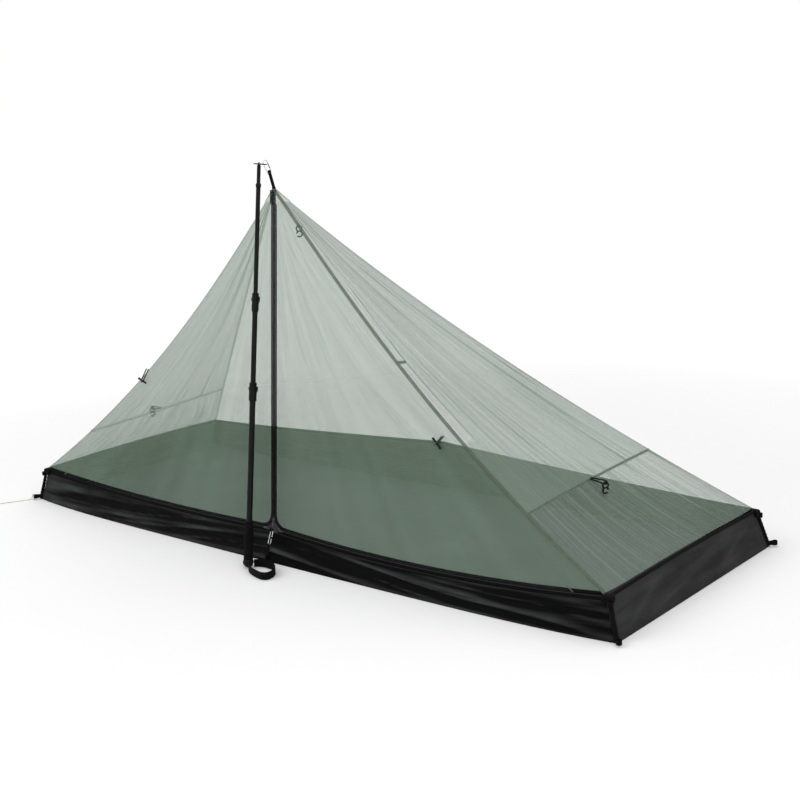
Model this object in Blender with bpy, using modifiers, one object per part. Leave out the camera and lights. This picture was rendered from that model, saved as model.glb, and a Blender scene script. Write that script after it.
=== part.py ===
# Trekking pole tent: a one-person net tent on a tray floor, held up by an upturned trekking pole.
# X runs along the tent, +Y towards its back and +Z up.
# The origin is the middle of the groundsheet's underside.
# All lengths are in metres.

import math

import bmesh
import bpy
from mathutils import Matrix, Vector

# Tent body
LENGTH = 2.200
WIDTH = 0.775
APEX_HEIGHT = 1.010
APEX_SETBACK = 0.101
CORNER_HEIGHT = 0.101
CORNER_INSET_X = 0.030
CORNER_INSET_Y = 0.016
ZIP_FOOT_HEIGHT = 0.084
ZIP_FOOT_SETBACK = 0.004

# How far the cloth departs from straight lines
ZIP_SAG_RIGHT = 0.027
ZIP_SAG_LEFT = 0.014
FRONT_BULGE = 0.035
BACK_RISE = 0.052
END_RISE = 0.006
RIDGE_FRONT_SAG = 0.084
RIDGE_FRONT_SETBACK = 0.010
RIDGE_BACK_SAG_X = 0.041
RIDGE_BACK_SAG_Y = 0.047
RIDGE_SKEW_SHARE = 0.25
PANEL_SAG = 0.022
BACK_PANEL_SAG = 0.030
PLEAT_DEPTH = 0.004
DRAPE_DEPTH = 0.007
DRAPE_WAVES = ((9, 2.4, 1.0), (21, -3.1, 0.6))
BULGE_POWER = 6
END_PLEATS = 4
BACK_PLEATS = 5

# Cloth and clearances
SHEET = 0.0008
NET = 0.0005
TOUCH = 0.0003
SEAM_GAP = 0.0006
RIDGE_GAP = 0.0017
RIDGE_TAPE_R = 0.0040
BINDING_R = 0.0030
CORNER_WEB_R = 0.0060
CORNER_CLEAR = 0.0009
POST_TRIM = 0.0075
RIDGE_END_TRIM = 0.0105
BINDING_TURN_R = 0.005
ZIP_END_TRIM = 0.017
PATCH_HEIGHT = 0.035
PATCH_TOP = 0.012
PATCH_LAP = 0.0045

# Zips
COIL_R = 0.0011
COIL_SPLIT = 0.0014
TAPE_WIDTH = 0.008
TAPE = 0.0006
STOP_LENGTH = 0.003
STOP_WIDTH = 0.0064
STOP_HEIGHT = 0.0028
FOLD_DROP = 0.082
FOLD_END_SHARE = 0.91
FOLD_GAP = 0.00045
DOOR_TOP_WIDTH = 0.020
DOOR_CORNER_CUT = 0.045
DOOR_CORNER_SHARES = (0.40, 0.50)
TAPE_TRIM_SHARE = 0.002
HEAD_GAP = 0.0010
SLIDER_WIDTH = 0.009
SLIDER_LENGTH = 0.012
SLIDER_PLATE = 0.0009
SLIDER_PLAY = 0.0004
SLIDER_POST = 0.0008
SLIDER_PARK = 0.022
PULL_WIDTH = 0.005
PULL_LENGTH = 0.016
PULL_THICK = 0.0010
PULL_BAR = 0.0010
PULL_WINDOW = 0.0021
PULL_WINDOW_WIDTH = 0.0026
BAIL_BORE_R = 0.00095
BAIL_R = 0.0015
BAIL_WIDTH = 0.0012
BAIL_SUNK = 0.00015

# End panels
SEAM_FRONT_HEIGHT = 0.253
SEAM_BACK_HEIGHT = 0.277
SEAM_TAPE_R = 0.0022

# Pole
POLE_SHIFT = 0.008
POLE_STANDOFF = 0.0942
POLE_LEAD = 0.0397
POLE_RISE = 0.0728
CAP_R = 0.0150
CAP_LENGTH = 0.022
GRIP_R = 0.0130
GRIP_WAIST_R = 0.0121
GRIP_NECK_R = 0.0112
GRIP_LENGTH = 0.127
GRIP_WAVE_SHARES = (0.75, 0.45, 0.20)
NECK_LENGTH = 0.014
LOWER_TUBE_R = 0.0080
MIDDLE_TUBE_R = 0.0070
TIP_TUBE_R = 0.0060
TUBE_PLAY = 0.0003
TUBE_WALL = 0.0007
LOWER_REACH = 0.507
MIDDLE_REACH = 0.241
MIDDLE_HIDDEN = 0.300
TIP_HIDDEN = 0.160
CLAMP_LENGTH = 0.050
CLAMP_WALL = 0.0022
CLAMP_LIP = 0.004
LEVER_DROP = 0.017
LEVER_HEIGHT = 0.009
LEVER_PLAY = 0.0003
LEVER_STANDOFF = 0.0006
LEVER_THICK = 0.0026
LEVER_EYE_R = 0.0021
LEVER_WRAP = math.radians(196)
LEVER_EYE_START = math.radians(112)
LEVER_EYE_STOP = math.radians(410)
LEVER_ROOT_SHARES = (1.1, 1.375)
EAR_HEIGHT = 0.016
EAR_WIDTH = 0.0060
PIN_R = 0.0010
FERRULE_R = 0.0050
FERRULE_LENGTH = 0.0605
COLLAR_R = 0.0072
COLLAR_LENGTH = 0.010
TIP_R = 0.0022
TIP_LENGTH = 0.0072
TAPER_SHARE = 0.8
COLLAR_SLOPE_SHARE = 0.3
TUBE_SIDES = 18

# Wrist strap
STRAP_THICK = 0.0020
STRAP_HEIGHT = 0.022
STRAP_ROUTE = [
    (0.0116, -0.0106),
    (0.0300, -0.0270),
    (0.0540, -0.0395),
    (0.0820, -0.0480),
    (0.1050, -0.0515),
    (0.1180, -0.0440),
    (0.1195, -0.0290),
    (0.1120, -0.0100),
    (0.0940, 0.0090),
    (0.0740, 0.0180),
    (0.0500, 0.0205),
    (0.0280, 0.0175),
    (0.0126, 0.0094),
]

# Tether between pole and apex
EYELET_TAB_LENGTH = 0.040
EYELET_TAB_WIDTH = 0.020
EYELET_TAB_THICK = 0.0016
EYELET_BORE_R = 0.0030
EYELET_BARREL = 0.0009
EYELET_FLANGE_R = 0.0068
EYELET_FLANGE = 0.0004
EYELET_SETBACK = 0.016
TAB_END = 0.0066
TAB_HOLE_R = 0.0026
CARABINER_LENGTH = 0.038
CARABINER_WIDTH = 0.0132
CARABINER_WIRE_R = 0.0012
CARABINER_FOOT_R = 0.0028
CARABINER_OFFSET = 0.0002
GATE_LENGTH = 0.015
GATE_SHIFT = 0.005
WEBBING = 0.0012
WEBBING_WIDTH = 0.0072

# Front foot clip
FOOT_LOOP_LENGTH = 0.012
FOOT_HOOK_LENGTH = 0.036
FOOT_HOOK_WIDTH = 0.009
FOOT_HOOK_WIRE_R = 0.0013
FOOT_HOOK_STANDOFF = 0.0028
FOOT_LOOP_DROP_SHARE = 0.7

# Loops, hooks and toggles
STAKE_LOOP_LENGTH = 0.023
TOP_LOOP_LENGTH = 0.016
TOP_LOOP_DROP = 0.0135
LOOP_WIDTH = 0.014
LOOP_WEB = 0.0016
LOOP_HEIGHT = 0.012
LOOP_WRAP = math.radians(100)
LOOP_NECK_SHARES = (1.4, 2.2)
STAKE_LOOP_RISE = 0.0040
GUYED_LOOP_TURN = math.radians(15)
HOOK_RING_R = 0.0072
HOOK_WIRE_R = 0.0015
HOOK_SPACING = 0.0136
HOOK_MOUTH = math.radians(38)
ELASTIC_R = 0.00125
ELASTIC_SPREAD = 0.0016
ELASTIC_SLACK = 0.0003
TIEOUT_REACH = 0.046
LANTERN_REACH = 0.030
LANTERN_DROP = 0.100
LANTERN_WAY = (-0.60, 0.80, 0.0)
TOGGLE_LENGTH = 0.036
TOGGLE_R = 0.0024
TOGGLE_WAIST_SHARE = 0.7
TOGGLE_RIGHT_SPOT = (0.05035, 0.393)
TOGGLE_RIGHT_ANCHOR = (0.0075, 0.412)
TOGGLE_LEFT_SPOT = (0.01242, 0.443)
TOGGLE_LEFT_HEIGHT = 0.477
TOGGLE_CLEAR = 0.0008
TOGGLE_LEFT_LIFT = 0.0046
TOGGLE_RIGHT_LIFT = 0.0004

# Guy cord: round the front left stake loop, out over the ground and back on itself in an end loop.
# Its points are (distance from the corner along the loop, sideways, height).
GUY_R = 0.0010
GUY_POINTS = 42
GUY_ROUTE = [
    (0.0266, 0.0018, 0.0026),
    (0.0242, 0.0015, 0.0014),
    (0.0218, 0.0010, 0.0013),
    (0.0199, 0.0005, 0.0026),
    (0.0192, 0.0001, 0.0060),
    (0.0192, -0.0003, 0.0120),
    (0.0200, -0.0006, 0.0162),
    (0.0222, -0.0009, 0.0184),
    (0.0244, -0.0012, 0.0166),
    (0.0257, -0.0014, 0.0120),
    (0.0274, -0.0017, 0.0066),
    (0.0306, -0.0020, 0.0030),
    (0.0360, -0.0022, 0.0014),
    (0.0450, -0.0026, 0.0012),
    (0.0600, -0.0031, 0.0012),
    (0.0750, -0.0037, 0.0012),
    (0.0900, -0.0043, 0.0012),
    (0.1050, -0.0049, 0.0012),
    (0.1200, -0.0056, 0.0012),
    (0.1330, -0.0062, 0.0012),
    (0.1395, -0.0092, 0.0012),
    (0.1460, -0.0114, 0.0012),
    (0.1520, -0.0090, 0.0012),
    (0.1535, -0.0045, 0.0012),
    (0.1500, -0.0008, 0.0012),
    (0.1445, 0.0000, 0.0012),
    (0.1395, -0.0028, 0.0012),
]

# How finely the shapes are drawn
BACK_GRID = (20, 10)
DOOR_GRID = (18, 8)
STRIP_GRID = (2, 18)
UPPER_GRID = (18, 8)
LOWER_GRID = (18, 3)
FRONT_WALL_GRID = (36, 3)
BACK_WALL_GRID = (24, 2)
END_WALL_GRID = (12, 2)
FLOOR_GRID = (24, 2)
STRAP_GRID = (34, 1)
ZIP_STEPS = 30
RIDGE_STEPS = 18
EDGE_STEPS = 14
STRAND_STEPS = 4
ARC_STEPS = 10

for old in list(bpy.data.objects):
    bpy.data.objects.remove(old, do_unlink=True)


def collection(name):
    made = bpy.data.collections.new(name)
    bpy.context.scene.collection.children.link(made)
    return made


tent = collection("trekking_pole_tent")
cutters = collection("cutters")
cutters.hide_render = True


def material(name, colour, roughness, metallic=0.0):
    made = bpy.data.materials.new(name)
    made.use_nodes = True
    shader = made.node_tree.nodes["Principled BSDF"]
    shader.inputs["Base Color"].default_value = (*colour, 1.0)
    shader.inputs["Roughness"].default_value = roughness
    shader.inputs["Metallic"].default_value = metallic
    return made


floor_cloth = material("floor_cloth", (0.030, 0.033, 0.033), 0.62)
net_cloth = material("net_cloth", (0.52, 0.57, 0.50), 0.85)
seam_tape = material("seam_tape", (0.20, 0.23, 0.20), 0.80)
black_webbing = material("black_webbing", (0.012, 0.012, 0.013), 0.75)
zip_coil = material("zip_coil", (0.010, 0.010, 0.012), 0.40)
bright_steel = material("bright_steel", (0.62, 0.63, 0.64), 0.28, 1.0)
black_plastic = material("black_plastic", (0.014, 0.014, 0.015), 0.42)
grip_foam = material("grip_foam", (0.013, 0.013, 0.013), 0.88)
tube_metal = material("tube_metal", (0.020, 0.020, 0.022), 0.36, 0.6)
grey_plastic = material("grey_plastic", (0.30, 0.32, 0.31), 0.50)
pale_cord = material("pale_cord", (0.78, 0.78, 0.58), 0.70)


def keep(name, data, mat, home=None):
    """Links a new object with its material."""
    data.materials.append(mat)
    made = bpy.data.objects.new(name, data)
    (home or tent).objects.link(made)
    return made


def smooth(mesh, angle=math.radians(35)):
    mesh.shade_smooth()
    mesh.set_sharp_from_angle(angle=angle)


def cloth(name, place, grid, thickness, mat):
    """A sheet whose middle surface is place(u, v) for u and v from 0 to 1."""
    shape = bmesh.new()
    bmesh.ops.create_grid(shape, x_segments=grid[0], y_segments=grid[1], size=0.5)
    for corner in shape.verts:
        corner.co = place(corner.co.x + 0.5, corner.co.y + 0.5)
    mesh = bpy.data.meshes.new(name)
    shape.to_mesh(mesh)
    shape.free()
    smooth(mesh)
    made = keep(name, mesh, mat)
    wall = made.modifiers.new("thickness", "SOLIDIFY")
    wall.thickness = thickness
    wall.offset = 0.0
    return made


def tubes(name, routes, radius, mat, sides_step=2, home=None):
    """Round tubes, one along each route of points, in one object."""
    curve = bpy.data.curves.new(name, "CURVE")
    curve.dimensions = "3D"
    curve.bevel_depth = radius
    curve.bevel_resolution = sides_step
    curve.use_fill_caps = True
    for route in routes:
        spline = curve.splines.new("POLY")
        spline.points.add(len(route) - 1)
        for point, spot in zip(spline.points, route):
            point.co = (*spot, 1.0)
    return keep(name, curve, mat, home)


def outline(name, loops, thickness, mat, frame=None, home=None):
    """A flat piece cut to closed loops of (x, y) points, as thick as given, placed by a matrix."""
    curve = bpy.data.curves.new(name, "CURVE")
    curve.dimensions = "2D"
    curve.fill_mode = "BOTH"
    curve.extrude = thickness / 2
    for loop in loops:
        spline = curve.splines.new("POLY")
        spline.points.add(len(loop) - 1)
        spline.use_cyclic_u = True
        for point, spot in zip(spline.points, loop):
            point.co = (spot[0], spot[1], 0.0, 1.0)
    made = keep(name, curve, mat, home)
    if frame is not None:
        made.matrix_world = frame
    return made


def turned(name, profile, mat, closed=False, sides=TUBE_SIDES, home=None):
    """A round piece about Z. An open profile runs from the axis down the outer side to the axis."""
    mesh = bpy.data.meshes.new(name)
    ends = [(i, i + 1) for i in range(len(profile) - 1)]
    if closed:
        ends.append((len(profile) - 1, 0))
    mesh.from_pydata([(r, 0.0, z) for r, z in profile], ends, [])
    made = keep(name, mesh, mat, home)
    spin = made.modifiers.new("turn", "SCREW")
    spin.steps = sides
    spin.render_steps = sides
    spin.use_merge_vertices = True
    spin.merge_threshold = 0.00005
    spin.use_smooth_shade = True
    return made


def block(name, size, home, frame=None):
    """A plain box about its own middle, for joining or cutting."""
    shape = bmesh.new()
    bmesh.ops.create_cube(shape, size=1.0)
    bmesh.ops.scale(shape, vec=size, verts=shape.verts)
    mesh = bpy.data.meshes.new(name)
    shape.to_mesh(mesh)
    shape.free()
    made = bpy.data.objects.new(name, mesh)
    home.objects.link(made)
    if frame is not None:
        made.matrix_world = frame
    return made


def rod(name, radius, length, home, frame=None):
    """A plain cylinder along Z about its own middle, for joining or cutting."""
    shape = bmesh.new()
    bmesh.ops.create_cone(
        shape, cap_ends=True, segments=TUBE_SIDES, radius1=radius, radius2=radius, depth=length
    )
    mesh = bpy.data.meshes.new(name)
    shape.to_mesh(mesh)
    shape.free()
    made = bpy.data.objects.new(name, mesh)
    home.objects.link(made)
    if frame is not None:
        made.matrix_world = frame
    return made


def join_or_cut(target, tool, operation):
    tool.hide_render = True
    tool.display_type = "WIRE"
    step = target.modifiers.new(operation.lower() + "_" + tool.name, "BOOLEAN")
    step.operation = operation
    step.object = tool


def unite(name, objects, mat):
    """One solid from several that overlap, such as the pieces of a sewn or moulded part."""
    bpy.context.view_layer.update()
    graph = bpy.context.evaluated_depsgraph_get()
    meshes = []
    for one in objects:
        mesh = bpy.data.meshes.new_from_object(one.evaluated_get(graph))
        mesh.transform(one.matrix_world)
        mesh.materials.clear()
        shape = bmesh.new()
        shape.from_mesh(mesh)
        bmesh.ops.remove_doubles(shape, verts=shape.verts, dist=0.00001)
        shape.to_mesh(mesh)
        shape.free()
        meshes.append(mesh)
    for one in objects:
        bpy.data.objects.remove(one, do_unlink=True)
    whole = keep(name, meshes[0], mat)
    for number, mesh in enumerate(meshes[1:]):
        tool = bpy.data.objects.new(f"{name}_{number}", mesh)
        cutters.objects.link(tool)
        join_or_cut(whole, tool, "UNION")
    return whole


def steps(count):
    return [i / count for i in range(count + 1)]


def arc(centre, radius, start, stop, steps=ARC_STEPS):
    """Points on an arc in the XY plane, both ends included."""
    return [
        (
            centre[0] + radius * math.cos(start + (stop - start) * i / steps),
            centre[1] + radius * math.sin(start + (stop - start) * i / steps),
        )
        for i in range(steps + 1)
    ]


def stadium(length, width, shift=0.0):
    """A loop with round ends along X, starting at x = shift."""
    r = width / 2
    near = arc((shift + r, 0.0), r, math.pi / 2, 3 * math.pi / 2)
    far = arc((shift + length - r, 0.0), r, -math.pi / 2, math.pi / 2)
    return near + far


def axes(origin, along_x, along_y):
    """A placing matrix from an origin, an X direction and a direction near Y."""
    x = along_x.normalized()
    z = x.cross(along_y).normalized()
    y = z.cross(x)
    turn = Matrix((x, y, z)).transposed().to_4x4()
    turn.translation = origin
    return turn


# Corners, ridges and zip lines of the tent
APEX = Vector((0.0, APEX_SETBACK - WIDTH / 2, APEX_HEIGHT))
ZIP_FOOT = Vector((0.0, ZIP_FOOT_SETBACK - WIDTH / 2, ZIP_FOOT_HEIGHT))
UP = Vector((0.0, 0.0, 1.0))


def corner_top(side, depth):
    return Vector(
        (
            side * (LENGTH / 2 - CORNER_INSET_X),
            depth * (WIDTH / 2 - CORNER_INSET_Y),
            CORNER_HEIGHT,
        )
    )


def corner_foot(side, depth):
    return Vector((side * LENGTH / 2, depth * WIDTH / 2, 0.0))


def hump(t):
    return 4 * t * (1 - t)


def ridge(side, depth, t):
    """A point on a ridge seam, from the apex at t = 0 to the wall corner at t = 1."""
    spot = APEX.lerp(corner_top(side, depth), t)
    if depth < 0:
        skew = 1 + RIDGE_SKEW_SHARE * (2 * t - 1)
        spot.x -= side * RIDGE_FRONT_SAG * hump(t) * skew
        spot.y += RIDGE_FRONT_SETBACK * hump(t)
    else:
        spot.x -= side * RIDGE_BACK_SAG_X * hump(t)
        spot.y -= RIDGE_BACK_SAG_Y * hump(t)
    return spot


def ridge_share(height):
    return (APEX_HEIGHT - height) / (APEX_HEIGHT - CORNER_HEIGHT)


def zip_line(height):
    """A point on the upright zip's centre line."""
    return ZIP_FOOT.lerp(APEX, (height - ZIP_FOOT_HEIGHT) / (APEX_HEIGHT - ZIP_FOOT_HEIGHT))


ZIP_UP = (APEX - ZIP_FOOT).normalized()
ZIP_OUT = ZIP_UP.cross(Vector((-1.0, 0.0, 0.0))).normalized()


def zip_sag(side):
    return ZIP_SAG_RIGHT if side > 0 else ZIP_SAG_LEFT


def arc_frame(side):
    """Centre, radius, half angle and the chord and up directions of the zip along one front wall top."""
    chord = corner_top(side, -1) - ZIP_FOOT
    along = chord.normalized()
    up = (UP - along * UP.dot(along)).normalized()
    sag = zip_sag(side)
    radius = (chord.length**2 / 4 + sag**2) / (2 * sag)
    centre = ZIP_FOOT + chord / 2 + up * (radius - sag)
    return centre, radius, math.asin(chord.length / 2 / radius), along, up


def zip_arc(side, share, inset=0.0):
    """A point on the wall-top zip, from the zip foot at share 0 to the corner at 1, inset upwards."""
    centre, radius, half, along, up = arc_frame(side)
    angle = half * (2 * share - 1)
    return centre + (along * math.sin(angle) - up * math.cos(angle)) * (radius - inset)


COIL_INSET = COIL_SPLIT / 2 + COIL_R
TAPE_INSET = COIL_INSET + COIL_R + TOUCH
TAPE_REACH = TAPE_INSET + TAPE_WIDTH - COIL_INSET
PANEL_INSET = TAPE_INSET + TAPE_WIDTH + SEAM_GAP
PATCH_BASE = APEX_HEIGHT - PATCH_HEIGHT
TOP_SHARE = ridge_share(PATCH_BASE - SEAM_GAP)


def fold_point(side, share):
    """A point on the straight line about which a door swings, from the upright zip down to the wall."""
    return zip_line(APEX_HEIGHT - FOLD_DROP).lerp(zip_arc(side, FOLD_END_SHARE), share)


def fold_at(side, height):
    top = fold_point(side, 0.0)
    low = fold_point(side, 1.0)
    return top.lerp(low, (top.z - height) / (top.z - low.z))


DOOR_TOP_SHARE = DOOR_TOP_WIDTH / zip_arc(1, FOLD_END_SHARE).x


def coons(left, right, top, bottom):
    """A sheet stretched between four edges that meet at their ends."""

    def place(u, v):
        sides = left(v).lerp(right(v), u)
        ends = top(u).lerp(bottom(u), v)
        corners = left(0).lerp(right(0), u).lerp(left(1).lerp(right(1), u), v)
        return sides + ends - corners

    return place


def straight(start, stop):
    return lambda share: start.lerp(stop, share)


def trimmed(point, towards, distance):
    """A point moved a little way towards another."""
    return point + (towards - point).normalized() * distance


# Groundsheet and walls
def ground_edge(x_share):
    """The front ground edge, which the slack wall pushes outwards between the corners."""
    return -WIDTH / 2 - FRONT_BULGE * (1 - abs(x_share) ** BULGE_POWER) * (1 - x_share**2 / 5)


def floor_place(u, v):
    x_share = 2 * u - 1
    front = ground_edge(x_share)
    y = front + (WIDTH / 2 - front) * v
    return Vector((x_share * LENGTH / 2, y, SHEET / 2))


WALL_FOOT = SHEET + 2 * TOUCH
WALL_TRIM = CORNER_WEB_R + CORNER_CLEAR
WALL_HEAD = BINDING_R + TOUCH


def front_wall_place(u, v):
    x_share = 2 * u - 1
    side = 1 if x_share >= 0 else -1
    top = zip_arc(side, abs(x_share), -PANEL_INSET - 2 * TOUCH)
    low = Vector((x_share * LENGTH / 2, ground_edge(x_share), WALL_FOOT))
    reach = LENGTH / 2 - WALL_TRIM
    top.x = max(-reach + CORNER_INSET_X, min(reach - CORNER_INSET_X, top.x))
    low.x = max(-reach, min(reach, low.x))
    spot = top.lerp(low, v)
    fade = hump(v) * (1 - x_share**8)
    folds = sum(height * math.sin(x_share * run + v * lean) for run, lean, height in DRAPE_WAVES)
    spot.y -= DRAPE_DEPTH * fade * folds / 2
    return spot


def back_height(x_share):
    """The back wall's top, drawn up between the corners by the net above it."""
    return CORNER_HEIGHT + BACK_RISE * (1 - abs(x_share)) ** 1.3


def end_height(share):
    return CORNER_HEIGHT + END_RISE * hump(share)


def back_wall_place(u, v):
    x_share = 2 * u - 1
    reach = LENGTH / 2 - WALL_TRIM
    top_reach = reach - CORNER_INSET_X
    top_y = WIDTH / 2 - CORNER_INSET_Y
    top = Vector((x_share * top_reach, top_y, back_height(x_share) - WALL_HEAD))
    low = Vector((x_share * reach, WIDTH / 2 - SHEET, WALL_FOOT))
    spot = low.lerp(top, v)
    spot.y += DRAPE_DEPTH * hump(v) * math.sin(x_share * 11 + v) / 3
    return spot


def end_wall_place(side):
    def place(u, v):
        reach = WIDTH / 2 - WALL_TRIM
        low = Vector((side * (LENGTH / 2 - SHEET), (2 * u - 1) * reach, WALL_FOOT))
        top_reach = reach - CORNER_INSET_Y
        top = Vector((side * (LENGTH / 2 - CORNER_INSET_X), (2 * u - 1) * top_reach, 0.0))
        top.z = end_height(u) - WALL_HEAD
        spot = low.lerp(top, v)
        spot.x += side * DRAPE_DEPTH * hump(v) * hump(u) * math.sin(u * 7 + v * 2) / 3
        return spot

    return place


cloth("groundsheet", floor_place, FLOOR_GRID, SHEET, floor_cloth)
cloth("wall_front", front_wall_place, FRONT_WALL_GRID, SHEET, floor_cloth)
cloth("wall_back", back_wall_place, BACK_WALL_GRID, SHEET, floor_cloth)
cloth("wall_left", end_wall_place(-1), END_WALL_GRID, SHEET, floor_cloth)
cloth("wall_right", end_wall_place(1), END_WALL_GRID, SHEET, floor_cloth)


# Tapes along the wall tops, ridges and end seams
def binding_route():
    """Round the wall tops from the front left corner by the back to the front right one."""
    x = LENGTH / 2 - CORNER_INSET_X
    y = WIDTH / 2 - CORNER_INSET_Y
    turn = BINDING_TURN_R
    low = CORNER_CLEAR + CORNER_WEB_R - y
    ends = [(low + (y - turn - low) * s) for s in steps(ARC_STEPS)]
    end = [(v, end_height((v + y) / (2 * y))) for v in ends]
    back = [(x - turn) * (2 * s - 1) for s in steps(EDGE_STEPS)]
    corner = arc((-x + turn, y - turn), turn, math.pi, math.pi / 2, 5)[1:-1]
    route = [(-x, v, z) for v, z in end] + [(*spot, CORNER_HEIGHT) for spot in corner]
    route += [(v, y, back_height(v / (x - turn))) for v in back]
    route += [(-spot[0], spot[1], CORNER_HEIGHT) for spot in reversed(corner)]
    return route + [(x, v, z) for v, z in reversed(end)]


RIDGE_START = ridge_share(PATCH_BASE - RIDGE_TAPE_R - SEAM_GAP)
RIDGE_END = 1 - RIDGE_END_TRIM / (corner_top(1, -1) - APEX).length
SIDES = [(side, depth) for side in (-1, 1) for depth in (-1, 1)]


def ridge_tube(side, depth):
    route = [
        ridge(side, depth, RIDGE_START + (RIDGE_END - RIDGE_START) * s) for s in steps(RIDGE_STEPS)
    ]
    return tubes("ridge_tube", [route], RIDGE_TAPE_R, seam_tape)


tubes("wall_binding", [binding_route()], BINDING_R, black_webbing)

SEAM_FRONT_SHARE = ridge_share(SEAM_FRONT_HEIGHT)
SEAM_BACK_SHARE = ridge_share(SEAM_BACK_HEIGHT)
RIDGE_TRIM = RIDGE_TAPE_R + RIDGE_GAP


def end_seam(side, share):
    """A point on the level seam across an end panel, from the front ridge to the back one."""
    front = ridge(side, -1, SEAM_FRONT_SHARE)
    back = ridge(side, 1, SEAM_BACK_SHARE)
    inner = trimmed(front, back, RIDGE_TRIM + SEAM_TAPE_R)
    outer = trimmed(back, front, RIDGE_TRIM + SEAM_TAPE_R)
    spot = inner.lerp(outer, share)
    spot.x -= side * PANEL_SAG * hump(share) / 4
    return spot


def seam_tube(side):
    return tubes("seam_tube", [[end_seam(side, s) for s in steps(ARC_STEPS)]], SEAM_TAPE_R, seam_tape)


# Net panels
def pleats(u, v, count):
    """Tension folds that fan out of the apex and die away at the edges."""
    return PLEAT_DEPTH * hump(u) * hump(v) ** 0.5 * math.sin(2 * math.pi * count * u)


def between_ridges(side_a, depth_a, side_b, depth_b, trim=RIDGE_TRIM):
    """The two trimmed side edges of a panel that hangs between two ridges, by ridge share."""

    def edge_a(t):
        return trimmed(ridge(side_a, depth_a, t), ridge(side_b, depth_b, t), trim)

    def edge_b(t):
        return trimmed(ridge(side_b, depth_b, t), ridge(side_a, depth_a, t), trim)

    return edge_a, edge_b


def end_panel_upper(side):
    front, back = between_ridges(side, -1, side, 1)
    reach_front = SEAM_FRONT_SHARE - TOP_SHARE
    reach_back = SEAM_BACK_SHARE - TOP_SHARE
    rise = Vector((0.0, 0.0, SEAM_TAPE_R + SEAM_GAP))

    def left(v):
        return front(TOP_SHARE + reach_front * v) + rise * v

    def right(v):
        return back(TOP_SHARE + reach_back * v) + rise * v

    def bottom(u):
        spot = left(1).lerp(right(1), u)
        spot.x -= side * PANEL_SAG * hump(u) / 4
        return spot

    place = coons(left, right, straight(left(0), right(0)), bottom)

    def shaped(u, v):
        spot = place(u, v)
        spot.x -= side * (PANEL_SAG * hump(u) * hump(v) + pleats(u, v, END_PLEATS))
        return spot

    return shaped


def end_panel_lower(side):
    front, back = between_ridges(side, -1, side, 1)
    drop = Vector((0.0, 0.0, -SEAM_TAPE_R / 2))
    stop = ridge_share(CORNER_HEIGHT + WALL_TRIM)
    reach_front = stop - SEAM_FRONT_SHARE
    reach_back = stop - SEAM_BACK_SHARE

    def left(v):
        return front(SEAM_FRONT_SHARE + reach_front * v) + drop * (1 - v)

    def right(v):
        return back(SEAM_BACK_SHARE + reach_back * v) + drop * (1 - v)

    def top(u):
        spot = left(0).lerp(right(0), u)
        spot.x -= side * PANEL_SAG * hump(u) / 4
        return spot

    def bottom(u):
        spot = left(1).lerp(right(1), u)
        settle = WALL_TRIM - BINDING_R - SEAM_GAP
        spot.z += END_RISE * hump(u) - settle * (1 - (2 * u - 1) ** 8)
        return spot

    place = coons(left, right, top, bottom)

    def shaped(u, v):
        spot = place(u, v)
        spot.x -= side * (PANEL_SAG * hump(u) * hump(v) / 2 + pleats(u, v, END_PLEATS))
        return spot

    return shaped


def back_panel_place():
    first, last = between_ridges(-1, 1, 1, 1, RIDGE_TAPE_R / 2)
    stop = ridge_share(CORNER_HEIGHT + WALL_TRIM)

    def left(v):
        return first(TOP_SHARE + (stop - TOP_SHARE) * v)

    def right(v):
        return last(TOP_SHARE + (stop - TOP_SHARE) * v)

    def bottom(u):
        spot = left(1).lerp(right(1), u)
        settle = WALL_TRIM - BINDING_R - SEAM_GAP
        spot.z += back_height(2 * u - 1) - CORNER_HEIGHT - settle * (1 - (2 * u - 1) ** 8)
        return spot

    place = coons(left, right, straight(left(0), right(0)), bottom)

    def shaped(u, v):
        spot = place(u, v)
        spot.y -= BACK_PANEL_SAG * hump(u) * hump(v) + pleats(u, v, BACK_PLEATS)
        return spot

    return shaped


for side, word in ((-1, "left"), (1, "right")):
    cloth(f"end_panel_{word}_upper", end_panel_upper(side), UPPER_GRID, NET, net_cloth)
    lower = cloth("lower", end_panel_lower(side), LOWER_GRID, NET, net_cloth)
    unite(f"end_panel_{word}_lower", [lower, seam_tube(side)], net_cloth)
back = cloth("back", back_panel_place(), BACK_GRID, NET, net_cloth)
unite("back_panel", [back, ridge_tube(-1, 1), ridge_tube(1, 1)], net_cloth)


# Doors: each hangs from its straight fold line, with a fixed strip of net between that line and the ridge
def corner_cut(side, inset, share):
    """The rounded inner corner of a door, from the upright zip round to the wall-top zip."""
    cut = DOOR_CORNER_CUT
    start = zip_line(ZIP_FOOT_HEIGHT + cut) + Vector((side * inset, 0.0, 0.0))
    stop = zip_arc(side, cut / zip_arc(1, 1).x, inset)
    bend = zip_arc(side, inset / zip_arc(1, 1).x, inset)
    return start.lerp(bend, share).lerp(bend.lerp(stop, share), share)


FOLD_STOP = FOLD_END_SHARE - FOLD_GAP / zip_arc(1, 1).x


def door_edge(side, inset, share):
    """A line round a door's two zipped edges, from the top of the upright zip to the foot of the fold."""
    top = fold_point(side, DOOR_TOP_SHARE).z
    parts = DOOR_CORNER_SHARES
    if share < parts[0]:
        height = top + (ZIP_FOOT_HEIGHT + DOOR_CORNER_CUT - top) * share / parts[0]
        return zip_line(height) + Vector((side * inset, 0.0, 0.0))
    if share < parts[1]:
        return corner_cut(side, inset, (share - parts[0]) / (parts[1] - parts[0]))
    start = DOOR_CORNER_CUT / zip_arc(1, 1).x
    along = (share - parts[1]) / (1 - parts[1])
    lean = inset * fold_lean() / zip_arc(1, 1).x
    return zip_arc(side, start + (FOLD_STOP - lean - start) * along, inset)


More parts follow.
